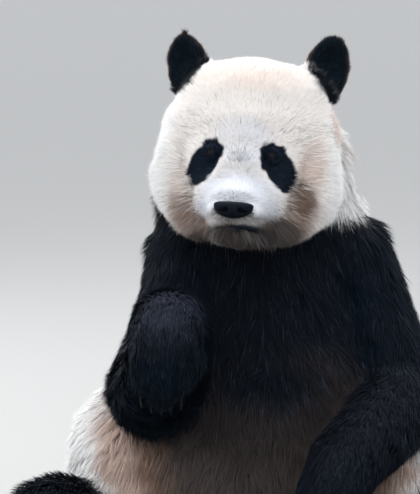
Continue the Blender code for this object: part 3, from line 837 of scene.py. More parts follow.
def bare_field(net, face, pads, outer, settings):
    """1 where nothing grows: in the eyes, on the nose, in the mouth, on the pads and under the body."""
    bare = [pads > 0.3]
    bare += [eye_opening(net.co, side, settings)[0] < BARE_LIDS for side in SIDES.values()]
    middle, half = nose_form()
    away = np.abs(face - middle) / (half * BARE_NOSE)
    bare.append((away[:, 0] ** 2.2 + away[:, 2] ** 2.2 < 1.0) & (away[:, 1] < 2.5))
    height, runs = lip_line(face)
    bare.append((np.abs(height) < BARE_LIPS) & (runs > 0.5))
    bare.append((outer[:, 2] < BARE_FOOT) & (net.co[:, 2] < 0.05))
    return np.any(bare, axis=0).astype(float)


def speckle_field(face, owner):
    """The share of grey tufts among the white ones."""
    share, middle, radii = WHORL_SPECKLE
    speckle = share * blob(face, middle, radii)
    folded = fold(face)
    for share, middle, radii in SPECKLES:
        speckle += share * blob(folded, middle, radii)
    return speckle * owned_by(owner, "head") + 0.005


# ---------------------------------------------------------------- meshes from points
def mesh_from(name, points, triangles):
    """A smooth mesh object from arrays of points and triangles."""
    mesh = bpy.data.meshes.new(name)
    mesh.vertices.add(len(points))
    mesh.vertices.foreach_set("co", points.astype(np.float32).ravel())
    mesh.loops.add(len(triangles) * 3)
    mesh.loops.foreach_set("vertex_index", triangles.astype(np.int32).ravel())
    mesh.polygons.add(len(triangles))
    mesh.polygons.foreach_set("loop_start", np.arange(0, len(triangles) * 3, 3, dtype=np.int32))
    mesh.polygons.foreach_set("use_smooth", np.ones(len(triangles), dtype=bool))
    mesh.update(calc_edges=True)
    return add_object(name, mesh)


def store(piece, name, values):
    """Stores a number for each point of a piece."""
    layer = piece.data.attributes.new(name, "FLOAT", "POINT")
    layer.data.foreach_set("value", np.asarray(values, np.float32))


def paint(piece, name, colours):
    """Stores a colour for each point of a piece."""
    layer = piece.data.attributes.new(name, "FLOAT_COLOR", "POINT")
    opaque = np.ones((len(colours), 4), np.float32)
    opaque[:, :3] = np.clip(colours, 0.0, 1.0)
    layer.data.foreach_set("color", opaque.ravel())


def unwrap(points, normals):
    """Places on a flat unwrap of the skin: six sheets, one for each way that a face can look."""
    look = np.abs(normals).argmax(axis=1)
    sheet = look * 2 + (normals[np.arange(len(normals)), look] > 0)
    places = np.zeros((len(points), 2))
    margin = 2.0 * PATCH
    for number in range(6):
        mine = sheet == number
        if not mine.any():
            continue
        flat = points[mine][:, [axis for axis in range(3) if axis != number // 2]]
        low, span = flat.min(axis=0), np.ptp(flat, axis=0) + 1e-6
        cell = np.array((1.0 / 3.0, 1.0 / 2.0)) - 2.0 * margin
        corner = np.array((number % 3 / 3.0, number // 3 / 2.0)) + margin
        places[mine] = corner + (flat - low) * (cell / span).min()
    return places


# ---------------------------------------------------------------- tufts
def tuft_roots(region, count, rng):
    """Random roots over a region, closer together where the tufts are small: the skin's values at each."""
    net = workshop["net"]
    coat = workshop["coat"]
    inside = (workshop["region"][net.tris] == region).sum(axis=1) >= 2
    chosen = np.flatnonzero(inside)
    crowd = (1.0 - workshop["bare"]) / (coat[:, 1] * coat[:, 2])
    areas = lengths(net.crosses()[chosen]) * crowd[net.tris[chosen]].mean(axis=1)
    areas *= workshop["bare"][net.tris[chosen]].max(axis=1) < 0.5
    total = np.cumsum(areas)
    picks = (np.arange(count) + rng.random(count)) / count * total[-1]
    corners = net.tris[chosen[np.minimum(np.searchsorted(total, picks), len(chosen) - 1)]]
    share = rng.random((count, 2))
    share = np.where(share.sum(axis=1, keepdims=True) > 1.0, 1.0 - share, share)
    share = np.column_stack((1.0 - share.sum(axis=1), share))[..., None]

    def value(field):
        return (field[corners] * share).sum(axis=1)

    return {
        "place": value(net.co),
        "normal": unit(value(workshop["normal"])),
        "lie": unit(value(workshop["lie"])),
        "coat": value(coat),
        "colour": value(workshop["colour"]),
        "speckle": value(workshop["speckle"][:, None])[:, 0],
        "headness": value(workshop["headness"][:, None])[:, 0],
    }


def tuft_paths(roots, settings, rng):
    """The curve of each tuft: it leaves the skin steeply, bends over along the lie and sags at its tip."""
    count = len(roots["place"])
    normal, lie = roots["normal"], roots["lie"]
    depth, length = roots["coat"][:, 0], roots["coat"][:, 1]
    side = np.cross(normal, lie)
    swirl = settings.swirl * ripple(roots["place"], 0.05, 31) + rng.normal(0.0, settings.stray, count)
    lie = unit(lie * np.cos(swirl)[:, None] + side * np.sin(swirl)[:, None])
    length = length * settings.length * rng.uniform(*LENGTH_SPREAD, count)
    length = length * (1.0 + 0.10 * ripple(roots["place"], 0.03, 32))
    proud = np.where(rng.random(count) < PROUD_SHARE, PROUD_RISE, 1.0)
    rise = np.clip(depth / length * rng.uniform(*RISE_SPREAD, count) * proud, 0.12, 0.90)
    tip_angle = rng.normal(*TIP_ANGLE, count)
    root_angle = np.clip(2.0 * np.arcsin(rise) - tip_angle, tip_angle + 0.1, 1.45)
    bend = (tip_angle - root_angle)[:, None]
    step = TUFT_STEPS[None, :]
    angle = root_angle[:, None] + bend * step
    along = (np.sin(angle) - np.sin(root_angle)[:, None]) / bend
    over = (np.cos(root_angle)[:, None] - np.cos(angle)) / bend
    reach = length[:, None, None]
    paths = (roots["place"] - normal * ROOT_SUNK)[:, None, :]
    paths = paths + reach * (lie[:, None, :] * along[..., None] + normal[:, None, :] * over[..., None])
    hang = settings.sag * length * np.clip(0.5 + 0.5 * normal[:, 2], 0.0, 1.0)
    paths[:, :, 2] -= hang[:, None] * step ** 2
    return gathered(paths, roots, settings, step)


def gathered(paths, roots, settings, step):
    """Draws the tips of neighbouring tufts together into locks."""
    places = roots["place"]
    leaders = np.arange(0, len(places), max(2, settings.lock_size))
    tree = KDTree(len(leaders))
    for number, index in enumerate(leaders):
        tree.insert(places[index], number)
    tree.balance()
    nearest = leaders[[tree.find(place)[1] for place in places]]
    hold = (settings.lock_hold * roots["coat"][:, 3])[:, None, None] * step[..., None] ** 1.6
    paths = paths + (paths[nearest] - paths) * hold
    paths[:, :, 2] = np.maximum(paths[:, :, 2], FLOOR_CLEAR)
    return paths


def repaint_head(roots, paths):
    """On the head a tuft has the colour of the place that it covers, so the markings keep their edges."""
    covered = paths[:, -2] * 0.6 + paths[:, -1] * 0.4
    fresh = face_marking(to_face(covered), bpy.context.scene.panda_markings)
    roots["colour"] = np.where(roots["headness"][:, None] > 0.02, fresh, roots["colour"])


def grow(name, settings):
    """Grows one coat piece from the skin's fields."""
    rng = np.random.default_rng(100 + list(PIECES).index(name))
    count = max(200, int(PIECES[name]["tufts"] * settings.density))
    roots = tuft_roots(name.removeprefix("coat_"), count, rng)
    paths = tuft_paths(roots, settings, rng)
    repaint_head(roots, paths)
    heading = unit(np.gradient(paths, axis=1))
    flat = unit(np.cross(heading, roots["normal"][:, None, :]))
    twist = rng.uniform(-TWIST, TWIST, (count, 1, 1))
    flat = flat * np.cos(twist) + np.cross(heading, flat) * np.sin(twist)
    half = 0.5 * roots["coat"][:, 2] * rng.uniform(*WIDTH_SPREAD, count) * settings.width
    offset = flat * (half[:, None] * TUFT_PROFILE[None, :])[..., None]
    pairs = np.stack((paths - offset, paths + offset), axis=2)[:, :-1].reshape(count, -1, 3)
    points = np.concatenate((pairs, paths[:, -1:]), axis=1)
    tip = TUFT_POINTS - 1
    strip = [corner for k in range(0, tip - 2, 2) for corner in ((k, k + 1, k + 3), (k, k + 3, k + 2))]
    strip.append((tip - 2, tip - 1, tip))
    triangles = (np.array(strip)[None] + (np.arange(count) * TUFT_POINTS)[:, None, None]).reshape(-1, 3)
    piece = mesh_from(name, points.reshape(-1, 3), triangles)
    own = np.repeat(np.cross(flat, heading), 2, axis=1)[:, :-1]
    shade = unit(roots["normal"][:, None, :] * FORM_SHARE + own * (1.0 - FORM_SHARE))
    piece.data.normals_split_custom_set_from_vertices(shade.reshape(-1, 3))
    colour_tufts(piece, roots, rng)
    lay_out(piece, roots, triangles)
    return piece


def colour_tufts(piece, roots, rng):
    """Each tuft has its marking's colour, a little lighter or darker, dimmed at the root with painted shade
    and paler at the tip, partly bleached and partly painted light through the hair.
    """
    marking = roots["colour"]
    count = len(marking)
    tone = marking.mean(axis=1)
    colours = bpy.context.scene.panda_markings
    vary = 0.06 + 0.20 * (1.0 - np.clip(tone * 3.0, 0.0, 1.0))
    colour = marking * np.clip(1.0 + rng.normal(0.0, 1.0, count) * vary, 0.3, 2.0)[:, None]
    greyed = (rng.random(count) < roots["speckle"]) & (tone > 0.2)
    colour = mixed(colour, colours.grey, greyed * rng.uniform(*GREYING, count))
    frostable = ease(0.08, 0.15, tone) * fade(0.45, 0.60, tone) * roots["headness"]
    frosted = rng.random(count) < FROSTED_SHARE * frostable
    colour = mixed(colour, colours.cream, frosted * rng.uniform(*FROSTING, count))
    cool = marking[:, 2] > marking[:, 0]
    # Some tufts of the dark coat are made lighter and bluer: painted glints of light on the hairs, more of
    # them where the coat is less dark.
    painted_glint_share = LEAST_PAINTED_GLINT + MORE_PAINTED_GLINT * ease(0.008, 0.016, tone)
    painted_glint = cool & (tone < 0.030) & (rng.random(count) < painted_glint_share)
    colour = mixed(colour, PAINTED_GLINT_HAIR, painted_glint * rng.uniform(*PAINTED_GLINT_RANGE, count))
    # Painted shade dims each tuft towards its root; its tip is paler, partly bleached and partly painted
    # light through the hair.
    light = tone[:, None]
    share = np.repeat(TUFT_STEPS, 2)[:-1][None, :]
    pale = (0.86 + 0.18 * share) * light + (0.75 + 0.45 * share) * (1.0 - light)
    paint(piece, "coat_colour", (colour[:, None, :] * pale[..., None]).reshape(-1, 3))


def lay_out(piece, roots, triangles):
    """Gives each tuft a small patch at its root's place on the unwrap."""
    places = unwrap(roots["place"], roots["normal"])
    rows = np.repeat(TUFT_STEPS - 0.5, 2)[:-1]
    columns = np.append(np.tile((-0.5, 0.5), len(TUFT_STEPS) - 1), 0.0)
    local = np.stack((columns, rows), axis=1) * PATCH
    corners = (places[:, None, :] + local[None]).reshape(-1, 2)
    layer = piece.data.uv_layers.new(name="OFBake")
    layer.uv.foreach_set("vector", corners[triangles.ravel()].astype(np.float32).ravel())


# ---------------------------------------------------------------- materials
def new_material(name):
    material = bpy.data.materials.new(name)
    material.use_nodes = True
    return material, material.node_tree, material.node_tree.nodes["Principled BSDF"]


def feed(tree, node, values):
    """Feeds a node's inputs, by name or number: a socket is linked and a value is set."""
    for label, value in values.items():
        if isinstance(value, bpy.types.NodeSocket):
            tree.links.new(value, node.inputs[label])
        else:
            node.inputs[label].default_value = value


def add_node(tree, kind, values=None, **traits):
    """A shader node with its traits set and its inputs fed."""
    node = tree.nodes.new(f"ShaderNode{kind}")
    for trait, value in traits.items():
        setattr(node, trait, value)
    feed(tree, node, values or {})
    return node


def calculated(tree, operation, *values):
    """The result of a mathematics node."""
    return add_node(tree, "Math", dict(enumerate(values)), operation=operation).outputs[0]


def new_group(name, inputs, outputs):
    """An empty shader node group with named sockets: name, socket type and default."""
    group = bpy.data.node_groups.new(name, "ShaderNodeTree")
    for label, kind, default in inputs:
        socket = group.interface.new_socket(label, in_out="INPUT", socket_type=kind)
        socket.default_value = default
    for label, kind in outputs:
        group.interface.new_socket(label, in_out="OUTPUT", socket_type=kind)
    return group, group.nodes.new("NodeGroupInput"), group.nodes.new("NodeGroupOutput")


def strand_group():
    """Mottling of a coat: soft clouds of tone and a fine grain that also roughens and raises it."""
    if "Coat Mottle" in bpy.data.node_groups:
        return bpy.data.node_groups["Coat Mottle"]
    group, start, end = new_group(
        "Coat Mottle",
        (("Color", "NodeSocketColor", (0.5, 0.5, 0.5, 1.0)), ("Cloud Size", "NodeSocketFloat", 18.0),
         ("Grain Size", "NodeSocketFloat", 240.0), ("Amount", "NodeSocketFloat", 0.2),
         ("Roughness", "NodeSocketFloat", 0.6)),
        (("Color", "NodeSocketColor"), ("Roughness", "NodeSocketFloat"), ("Height", "NodeSocketFloat")))
    given = start.outputs
    place = add_node(group, "TexCoord").outputs["Object"]
    clouds, grain = (
        add_node(group, "TexNoise", {"Vector": place, "Scale": given[label], "Detail": detail}).outputs["Fac"]
        for label, detail in (("Cloud Size", 2.0), ("Grain Size", 1.0)))
    centred = calculated(group, "SUBTRACT", calculated(group, "ADD", clouds, grain), 1.0)
    tone = calculated(group, "MULTIPLY_ADD", centred, given["Amount"], 1.0)
    tinted = add_node(group, "VectorMath", {0: given["Color"], "Scale": tone}, operation="SCALE").outputs[0]
    rough = calculated(group, "MULTIPLY_ADD", centred, 0.12, given["Roughness"])
    feed(group, end, {"Color": tinted, "Roughness": rough, "Height": grain})
    return group


def mottle(tree, shader, values):
    """Feeds a shader's colour and roughness through the shared group, and gives the group's height."""
    group = add_node(tree, "Group", values, node_tree=strand_group())
    feed(tree, shader, {"Base Color": group.outputs["Color"], "Roughness": group.outputs["Roughness"]})
    return group.outputs["Height"]


def coat_material(name, attribute, roughness, amount, specular, glint=None, bump=0.0):
    """A coat or skin whose colour is stored on its points and mottled by the shared group."""
    material, tree, shader = new_material(name)
    stored = add_node(tree, "Attribute", attribute_name=attribute).outputs["Color"]
    height = mottle(tree, shader, {"Color": stored, "Amount": amount, "Roughness": roughness})
    feed(tree, shader, {"Specular IOR Level": specular})
    if glint:
        feed(tree, shader, {
            "Specular Tint": (*glint, 1.0),
            "Sheen Weight": DARK_SHEEN,
            "Sheen Roughness": 0.5,
            "Sheen Tint": (*glint, 1.0),
        })
    if bump:
        raised = add_node(tree, "Bump", {"Strength": bump, "Distance": 0.001, "Height": height})
        feed(tree, shader, {"Normal": raised.outputs["Normal"]})
    return material


def leather_material(name, colour, roughness, cell_size, depth):
    """Pebbled bare skin, as on a nose."""
    material, tree, shader = new_material(name)
    mottle(tree, shader, {
        "Color": (*colour, 1.0),
        "Amount": 0.5,
        "Cloud Size": 60.0,
        "Grain Size": 600.0,
        "Roughness": roughness,
    })
    place = add_node(tree, "TexCoord").outputs["Object"]
    cells = add_node(tree, "TexVoronoi", {"Vector": place, "Scale": 1.0 / cell_size}).outputs["Distance"]
    raised = add_node(tree, "Bump", {"Strength": 0.6, "Distance": depth, "Height": cells}, invert=True)
    feed(tree, shader, {
        "Normal": raised.outputs["Normal"], "Specular IOR Level": 0.08, "Specular Tint": (*NOSE_GLINT, 1.0)})
    return material


def ramped(tree, share, stops):
    """The colours of a ramp with these stops, positions and colours, over a share."""
    ramp = add_node(tree, "ValToRGB", {"Fac": share})
    elements = ramp.color_ramp.elements
    elements[0].position, elements[1].position = stops[0][0], stops[-1][0]
    for position, _ in stops[1:-1]:
        elements.new(position)
    for element, (_, colour) in zip(elements, stops):
        element.color = (*colour, 1.0)
    return ramp.outputs["Color"]


def eye_material(colours):
    """A dark eye: pupil, brown iris with fine spokes, and a dim white, under a wet coat."""
    material, tree, shader = new_material("wet eye")
    stored = add_node(tree, "Attribute", attribute_name="from_pupil").outputs["Fac"]
    place = add_node(tree, "TexCoord").outputs["Object"]
    spokes = add_node(tree, "TexNoise", {"Vector": place, "Scale": 900.0}).outputs["Fac"]
    stops = (
        (0.0, (0.002, 0.002, 0.002)),
        (0.19, (0.003, 0.002, 0.002)),
        (0.24, colours.iris),
        (0.46, colours.iris),
        (0.54, (0.003, 0.002, 0.002)),
        (0.72, (0.014, 0.011, 0.010)),
    )
    feed(tree, shader, {
        "Base Color": ramped(tree, calculated(tree, "MULTIPLY_ADD", spokes, 0.05, stored), stops),
        "Roughness": 0.25,
        "Specular IOR Level": 0.05,
        "Coat Weight": 0.12,
        "Coat Roughness": 0.03,
    })
    return material


def horn_material():
    """Dark horn, streaked along and paler towards the tip, where it wears."""
    material, tree, shader = new_material("claw horn")
    stored = add_node(tree, "Attribute", attribute_name="towards_tip").outputs["Fac"]
    colour = ramped(tree, stored, ((0.0, (0.006, 0.0055, 0.0055)), (1.0, (0.011, 0.010, 0.010))))
    mottle(tree, shader, {
        "Color": colour, "Amount": 0.7, "Cloud Size": 120.0, "Grain Size": 900.0, "Roughness": 0.48})
    feed(tree, shader, {"Specular IOR Level": 0.09})
    return material


# ---------------------------------------------------------------- eyes, nose and claws
def build_eye(side):
    """An eyeball with the bulge of its cornea, looking out of the lids."""
    middle, radius, gaze, across, upwards = eye_frame(side)
    bm = bmesh.new()
    bmesh.ops.create_uvsphere(bm, u_segments=40, v_segments=28, radius=1.0)
    bmesh.ops.triangulate(bm, faces=bm.faces)
    ball = np.array([vert.co for vert in bm.verts])
    triangles = np.array([[vert.index for vert in face.verts] for face in bm.faces])
    bm.free()
    angle = np.arccos(np.clip(ball[:, 2], -1.0, 1.0))
    ball = ball * (1.0 + CORNEA * fade(0.25, 0.62, angle))[:, None] * radius * EYEBALL_FIT
    name = "eye_ball_" + ("right" if side < 0 else "left")
    piece = mesh_from(name, middle + ball @ np.array((across, upwards, gaze)), triangles)
    store(piece, "from_pupil", angle / 1.5)
    return piece


def stitched(start, rings, turns):
    """Triangles between the rings of points that begin at a number."""
    triangles = []
    for first in range(start, start + (rings - 1) * turns, turns):
        for k in range(turns):
            a, b = first + k, first + (k + 1) % turns
            triangles += [(a, b, b + turns), (a, b + turns, a + turns)]
    return triangles


def build_nose(settings):
    """A broad leather pad, flat above and round below, with comma nostrils and a groove between them."""
    middle, half = nose_form()
    turns, rings = 120, 36
    turn = np.arange(turns) * 2.0 * math.pi / turns
    cos, sin = np.cos(turn), np.sin(turn)
    power = np.where(sin > 0.0, *NOSE_CORNERS)
    tall = np.where(sin > 0.0, settings.nose_top, 2.0 - settings.nose_top)
    reach = (np.abs(cos) ** power + (np.abs(sin) / tall) ** power) ** (-1.0 / power)
    outline = np.stack((cos * reach, sin * reach + 1.0 - settings.nose_top), axis=1)
    heart = np.array((0.0, NOSE_HEART))
    swing = np.linspace(0.0, 1.0, rings)[1:] * 0.65 * math.pi
    spread = np.where(swing < math.pi / 2.0, np.sin(swing) ** 0.8, np.sin(swing))
    depth = NOSE_RIM - (1.0 + NOSE_RIM) * np.cos(swing)
    shape = np.concatenate([[(heart[0], heart[1], -1.0)]] + [
        np.column_stack((heart + (outline - heart) * wide, np.full(turns, deep)))
        for wide, deep in zip(spread, depth)])[:, [0, 2, 1]]     # across, depth and height, from -1 to 1
    triangles = [(0, 1 + (k + 1) % turns, 1 + k) for k in range(turns)]
    triangles += stitched(1, rings - 1, turns)
    last = 1 + (rings - 2) * turns
    triangles += [(last, last + k, last + k + 1) for k in range(1, turns - 1)]
    wide, deep, tall = shape.T
    across = np.abs(wide)
    front = ease(0.0, 0.5, NOSE_RIM - deep)
    hollow = NOSE_GROOVE[1] * bell(wide, NOSE_GROOVE[0]) * fade(-0.5, 0.3, tall)
    for x, z, lean, width, height, depth in NOSE_HOLLOWS:
        hollow += depth * bell(across - x, width) * bell(tall - z - lean * (across - x), height)
    points = middle + shape * half
    points[:, 1] += front * hollow
    points[:, 1] += NOSE_WRAP * points[:, 0] ** 2
    points[:, 1] += settings.nose_fall * half[1] * ease(0.2, 1.0, -tall) * front
    return mesh_from("nose_pad", from_face(points), np.array(triangles))


def claw_line(name):
    """The root, middle and tip of a claw, from its node."""
    points = points_of(name)
    axis = np.linalg.svd(points - points.mean(axis=0), full_matrices=False)[2][0]
    thirds = np.array_split(points[np.argsort((points - points.mean(axis=0)) @ axis)], 3)
    centres = [third.mean(axis=0) for third in thirds]
    widths = [lengths(third - centre).mean() for third, centre in zip(thirds, centres)]
    return centres if widths[0] > widths[2] else centres[::-1]


def build_claws(paw):
    """The five claws of a paw: curved, deeper than wide, and sharp."""
    rings, sides = 12, 14
    turn = (np.arange(sides) * 2.0 * math.pi / sides)[:, None]
    points, triangles, shares = [], [], []
    for toe in range(1, TOES + 1):
        name = f"claw_{paw}_{toe}"
        root, middle, tip = claw_line(name)
        radius = max(lengths(points_of(name) - root).min(), LEAST_CLAW)
        bend = root - 2.0 * middle + tip
        start = len(shares)
        for share in np.arange(rings) / (rings - 1):
            centre = root * (1 - share) * (1 - 2 * share) + middle * 4 * share * (1 - share)
            centre = centre + tip * share * (2 * share - 1)
            heading = unit((tip - root) + bend * (2.0 * share - 1.0) * 2.0)
            deep = unit(bend - heading * bend.dot(heading))
            wide = np.cross(heading, deep)
            size = radius * (1.0 - share ** 1.7) ** 0.85 + 0.0003
            ring = CLAW_DEPTH * np.cos(turn) * deep + CLAW_WIDTH * np.sin(turn) * wide
            points.append(centre + size * ring)
            shares += [share] * sides
        triangles += stitched(start, rings, sides)
        last = start + (rings - 1) * sides
        for k in range(1, sides - 1):
            triangles += [(start, start + k + 1, start + k), (last, last + k, last + k + 1)]
    piece = mesh_from(f"claws_{paw}", np.concatenate(points), np.array(triangles))
    store(piece, "towards_tip", shares)
    return piece


# ---------------------------------------------------------------- settings
def colour_setting(name, description, default):
    return FloatVectorProperty(
        name=name, description=description, default=default, subtype="COLOR", size=3, min=0.0, max=1.0)


class PandaMarkings(bpy.types.PropertyGroup):
    cream: colour_setting("Cream", "Forehead and crown", (0.80, 0.765, 0.735))
    snow: colour_setting("Snow", "Neck, flanks and back", (0.83, 0.825, 0.82))
    frost: colour_setting("Frost", "Muzzle and brow", (0.67, 0.69, 0.74))
    blush: colour_setting("Blush", "Tint over the crown", (0.78, 0.65, 0.58))
    tan: colour_setting("Tan", "Outer cheeks and lower flanks", (0.57, 0.435, 0.375))
    brown: colour_setting("Brown", "Lower cheeks and belly", (0.25, 0.160, 0.120))
    # the left cheek is darker and browner than the right
    left_cheek_dark: colour_setting("Left cheek dark", "Dark stain on the left cheek", (0.115, 0.0736, 0.0552))
    dusk: colour_setting("Dusk", "Jaw and chin", (0.072, 0.060, 0.055))
    umber: colour_setting("Umber", "Upper belly and thighs", (0.020, 0.016, 0.017))
    grey: colour_setting("Grey", "Dark hairs among the white", (0.11, 0.115, 0.14))
    soot: colour_setting("Soot", "Round the mouth", (0.030, 0.027, 0.028))
    charcoal: colour_setting("Charcoal", "Limbs and yoke", (0.0024, 0.0050, 0.0094))
    patch: colour_setting("Patch", "Round the eyes", (0.0034, 0.0076, 0.0155))
    ear: colour_setting("Ear", "Ears", (0.0028, 0.0056, 0.0085))
    # painted rim light on the edges of the ears
    rim: colour_setting("Ear rim", "Edge of the ears", (0.120, 0.068, 0.052))
    # painted sheen, as from the light above, on the back of the raised hand
    glossy: colour_setting("Painted sheen", "Back of the raised hand", (0.019, 0.020, 0.032))
    leather: colour_setting("Leather", "Pads of the paws", (0.017, 0.015, 0.015))
    iris: colour_setting("Iris", "Iris of the eyes", (0.010, 0.005, 0.003))


class PandaFace(bpy.types.PropertyGroup):
    eye_opening_width: FloatProperty(
        name="Eye width", description="Width of the opening of the lids", default=0.0132, unit="LENGTH")
    eye_opening_height: FloatProperty(
        name="Eye height", description="Height of the opening of the lids", default=0.0074, unit="LENGTH")
    lid_thickness: FloatProperty(
        name="Lid thickness", description="Thickness of the lids over the eyeball", default=0.0015,
        unit="LENGTH")
    nose_top: FloatProperty(
        name="Nose top", description="Share of the nose's half height above its widest line", default=0.55)
    nose_fall: FloatProperty(
        name="Nose fall", description="How far the foot of the nose falls back, in half depths", default=0.45)


class PandaCoat(bpy.types.PropertyGroup):
    density: FloatProperty(name="Density", description="Share of the full number of tufts", default=1.0)
    length: FloatProperty(name="Length", description="Length of the tufts, by the table's", default=1.0)
    width: FloatProperty(name="Width", description="Width of the tufts, by the table's", default=1.0)
    swirl: FloatProperty(
        name="Swirl", description="How far the lie of the coat wanders", default=0.18, subtype="ANGLE")
    stray: FloatProperty(
        name="Stray", description="How far single tufts stray from the lie", default=0.20, subtype="ANGLE")
    sag: FloatProperty(name="Sag", description="How far tips hang, in lengths", default=0.10)
    lock_size: IntProperty(name="Lock size", description="Tufts in a lock", default=13, min=2)
    lock_hold: FloatProperty(
        name="Lock hold", description="How closely tips gather, by the table's", default=1.0)


class PandaStudio(bpy.types.PropertyGroup):
    camera_place: FloatVectorProperty(
        name="Camera", description="Where the camera stands", default=(-0.091, -3.44, 1.064),
        subtype="TRANSLATION", unit="LENGTH")
    camera_tilt: FloatProperty(
        name="Tilt", description="How far the camera looks down", default=math.radians(8.0), subtype="ANGLE")
    lens: FloatProperty(name="Lens", description="Focal length in millimetres", default=138.75)
    sky: FloatProperty(name="Sky", description="Strength of the even light from all sides", default=1.18)
    top_light: FloatProperty(
        name="Top light", description="Power of the light above", default=72.0, unit="POWER")
    back_light: FloatProperty(
        name="Back light", description="Power of the light behind", default=30.0, unit="POWER")
    front_light: FloatProperty(
        name="Front light", description="Power of the light before", default=62.0, unit="POWER")
    floor: colour_setting("Floor", "Colour of the floor", (0.44, 0.437, 0.43))


# ---------------------------------------------------------------- operators
class PANDA_OT_skin(bpy.types.Operator):
    """Draw one skin over the flesh and work out what grows on it"""
    bl_idname = "panda.skin"
    bl_label = "Skin"

    def execute(self, context):
        make_skin(context.scene.panda_face, context.scene.panda_markings)
        net, colour = workshop["net"], workshop["colour"]
        skin = mesh_from("skin", net.co, net.tris)
        light = 0.8 * colour.mean(axis=1, keepdims=True)     # the skin is dimmer under dark coat
        dim = DIMMEST_SKIN + (1.0 - DIMMEST_SKIN) * np.maximum(workshop["pads"][:, None], light)
        paint(skin, "skin_colour", colour * dim)
        material = coat_material("skin", "skin_colour", roughness=0.70, amount=0.35, specular=0.08, bump=0.5)
        skin.data.materials.append(material)
        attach(skin, "root")
        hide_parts(*FLESH)
        return {"FINISHED"}


class PANDA_OT_coat(bpy.types.Operator):
    """Grow all the pieces of the coat over the skin"""
    bl_idname = "panda.coat"
    bl_label = "Coat"

    def execute(self, context):
        if "net" not in workshop:
            raise RuntimeError("the coat needs the skin first")
        settings = context.scene.panda_coat
        materials = {
            slot: coat_material(name, "coat_colour", *finish)
            for slot, (name, *finish) in COAT_FINISH.items()
        }
        for name, plan in PIECES.items():
            piece = grow(name, settings)
            piece.data.materials.append(materials[plan["slot"]])
            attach(piece, "root")
        return {"FINISHED"}


class PANDA_OT_eyes(bpy.types.Operator):
    """Set both eyeballs behind the lids"""
    bl_idname = "panda.eyes"
    bl_label = "Eyes"

    def execute(self, context):
        material = eye_material(context.scene.panda_markings)
        for word, side in SIDES.items():
            eye = build_eye(side)
            eye.data.materials.append(material)
            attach(eye, "root")
            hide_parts(f"eye_{word}")
        return {"FINISHED"}


class PANDA_OT_nose(bpy.types.Operator):
    """Shape the nose pad with its nostrils"""
    bl_idname = "panda.nose"
    bl_label = "Nose"

    def execute(self, context):
        nose = build_nose(context.scene.panda_face)
        nose.data.materials.append(leather_material(
            "nose leather", colour=(0.0026, 0.0036, 0.0062), roughness=0.46, cell_size=0.0011, depth=0.0004))
        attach(nose, "root")
        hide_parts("nose")
        return {"FINISHED"}


class PANDA_OT_claws(bpy.types.Operator):
    """Shape the claws of all four paws"""
    bl_idname = "panda.claws"
    bl_label = "Claws"

    def execute(self, context):
        material = horn_material()
        for paw in PAWS:
            claws = build_claws(paw)
            claws.data.materials.append(material)
            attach(claws, "root")
            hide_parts(*(f"claw_{paw}_{toe}" for toe in range(1, TOES + 1)))
        return {"FINISHED"}


class PANDA_OT_stage(bpy.types.Operator):
    """Set up the floor, the lights and the camera"""
    bl_idname = "panda.stage"
    bl_label = "Stage"

    def execute(self, context):
        settings = context.scene.panda_studio
        build_floor(settings)
        build_lights(settings)
        build_camera(settings)
        context.scene.view_settings.view_transform = "Standard"
        return {"FINISHED"}


def build_floor(settings):
    bm = bmesh.new()
    bmesh.ops.create_circle(bm, cap_ends=True, segments=96, radius=FLOOR_RADIUS)
    mesh = bpy.data.meshes.new("floor")
    bm.to_mesh(mesh)
    bm.free()
    material, tree, shader = new_material("pale floor")
    mottle(tree, shader, {
        "Color": (*settings.floor, 1.0),
        "Amount": 0.03,
        "Cloud Size": 1.5,
        "Grain Size": 60.0,
        "Roughness": 0.85,
    })
    mesh.materials.append(material)
    return add_object("floor", mesh)


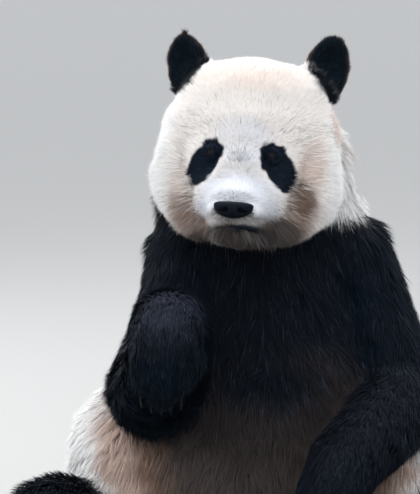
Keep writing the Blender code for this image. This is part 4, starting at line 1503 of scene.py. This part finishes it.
def build_lights(settings):
    """A broad light above, one behind for the rim of the coat, one before, and an even sky."""
    aim = Vector((0.0, 0.0, 0.55))
    plans = (                                    # place, width and height, power, colour
        ("top light", (0.0, 0.5, 3.4), (3.6, 3.0), settings.top_light, (1.0, 0.99, 0.98)),
        ("back light", (-2.3, 1.6, 2.0), (2.6, 1.6), settings.back_light, (1.0, 1.0, 1.0)),
        ("front light", (-0.4, -4.0, 2.5), (3.0, 2.2), settings.front_light, (1.0, 0.98, 0.96)),
    )
    for name, place, size, power, colour in plans:
        light = bpy.data.lights.new(name, "AREA")
        light.shape = "RECTANGLE"
        light.size, light.size_y = size
        light.energy = power
        light.color = colour
        lamp = add_object(name, light)
        lamp.location = place
        lamp.rotation_euler = (aim - Vector(place)).to_track_quat("-Z", "Y").to_euler()
        lamp.visible_camera = False
    world = bpy.data.worlds.new("studio")
    world.use_nodes = True
    feed(world.node_tree, world.node_tree.nodes["Background"], {
        "Color": (*SKY_COLOUR, 1.0), "Strength": settings.sky})
    bpy.context.scene.world = world


def build_camera(settings):
    data = bpy.data.cameras.new("camera")
    data.lens = settings.lens
    data.clip_end = 3.0 * FLOOR_RADIUS
    camera = add_object("camera", data)
    camera.location = settings.camera_place
    camera.rotation_euler = (math.pi / 2.0 - settings.camera_tilt, 0.0, 0.0)
    bpy.context.scene.camera = camera


class PANDA_PT_panel(bpy.types.Panel):
    """The panda's pieces and settings"""
    bl_idname = "PANDA_PT_panel"
    bl_label = "Seated Panda"
    bl_space_type = "VIEW_3D"
    bl_region_type = "UI"
    bl_category = "Panda"

    def draw(self, context):
        for operator in OPERATORS:
            self.layout.operator(operator.bl_idname)
        for holder in SETTINGS:
            group = getattr(context.scene, holder)
            box = self.layout.box()
            for name in group.__annotations__:
                box.prop(group, name)


OPERATORS = (PANDA_OT_skin, PANDA_OT_coat, PANDA_OT_eyes, PANDA_OT_nose, PANDA_OT_claws, PANDA_OT_stage)
SETTINGS = {
    "panda_markings": PandaMarkings,
    "panda_face": PandaFace,
    "panda_coat": PandaCoat,
    "panda_studio": PandaStudio,
}


def register():
    for kind in (*SETTINGS.values(), *OPERATORS, PANDA_PT_panel):
        bpy.utils.register_class(kind)
    for holder, kind in SETTINGS.items():
        setattr(bpy.types.Scene, holder, PointerProperty(type=kind))


def unregister():
    for holder in SETTINGS:
        delattr(bpy.types.Scene, holder)
    for kind in (PANDA_PT_panel, *reversed(OPERATORS), *reversed(SETTINGS.values())):
        bpy.utils.unregister_class(kind)


def main():
    register()
    bpy.ops.panda.skin()
    bpy.ops.panda.coat()
    bpy.ops.panda.eyes()
    bpy.ops.panda.nose()
    bpy.ops.panda.claws()
    bpy.ops.panda.stage()


if __name__ == "__main__":
    main()
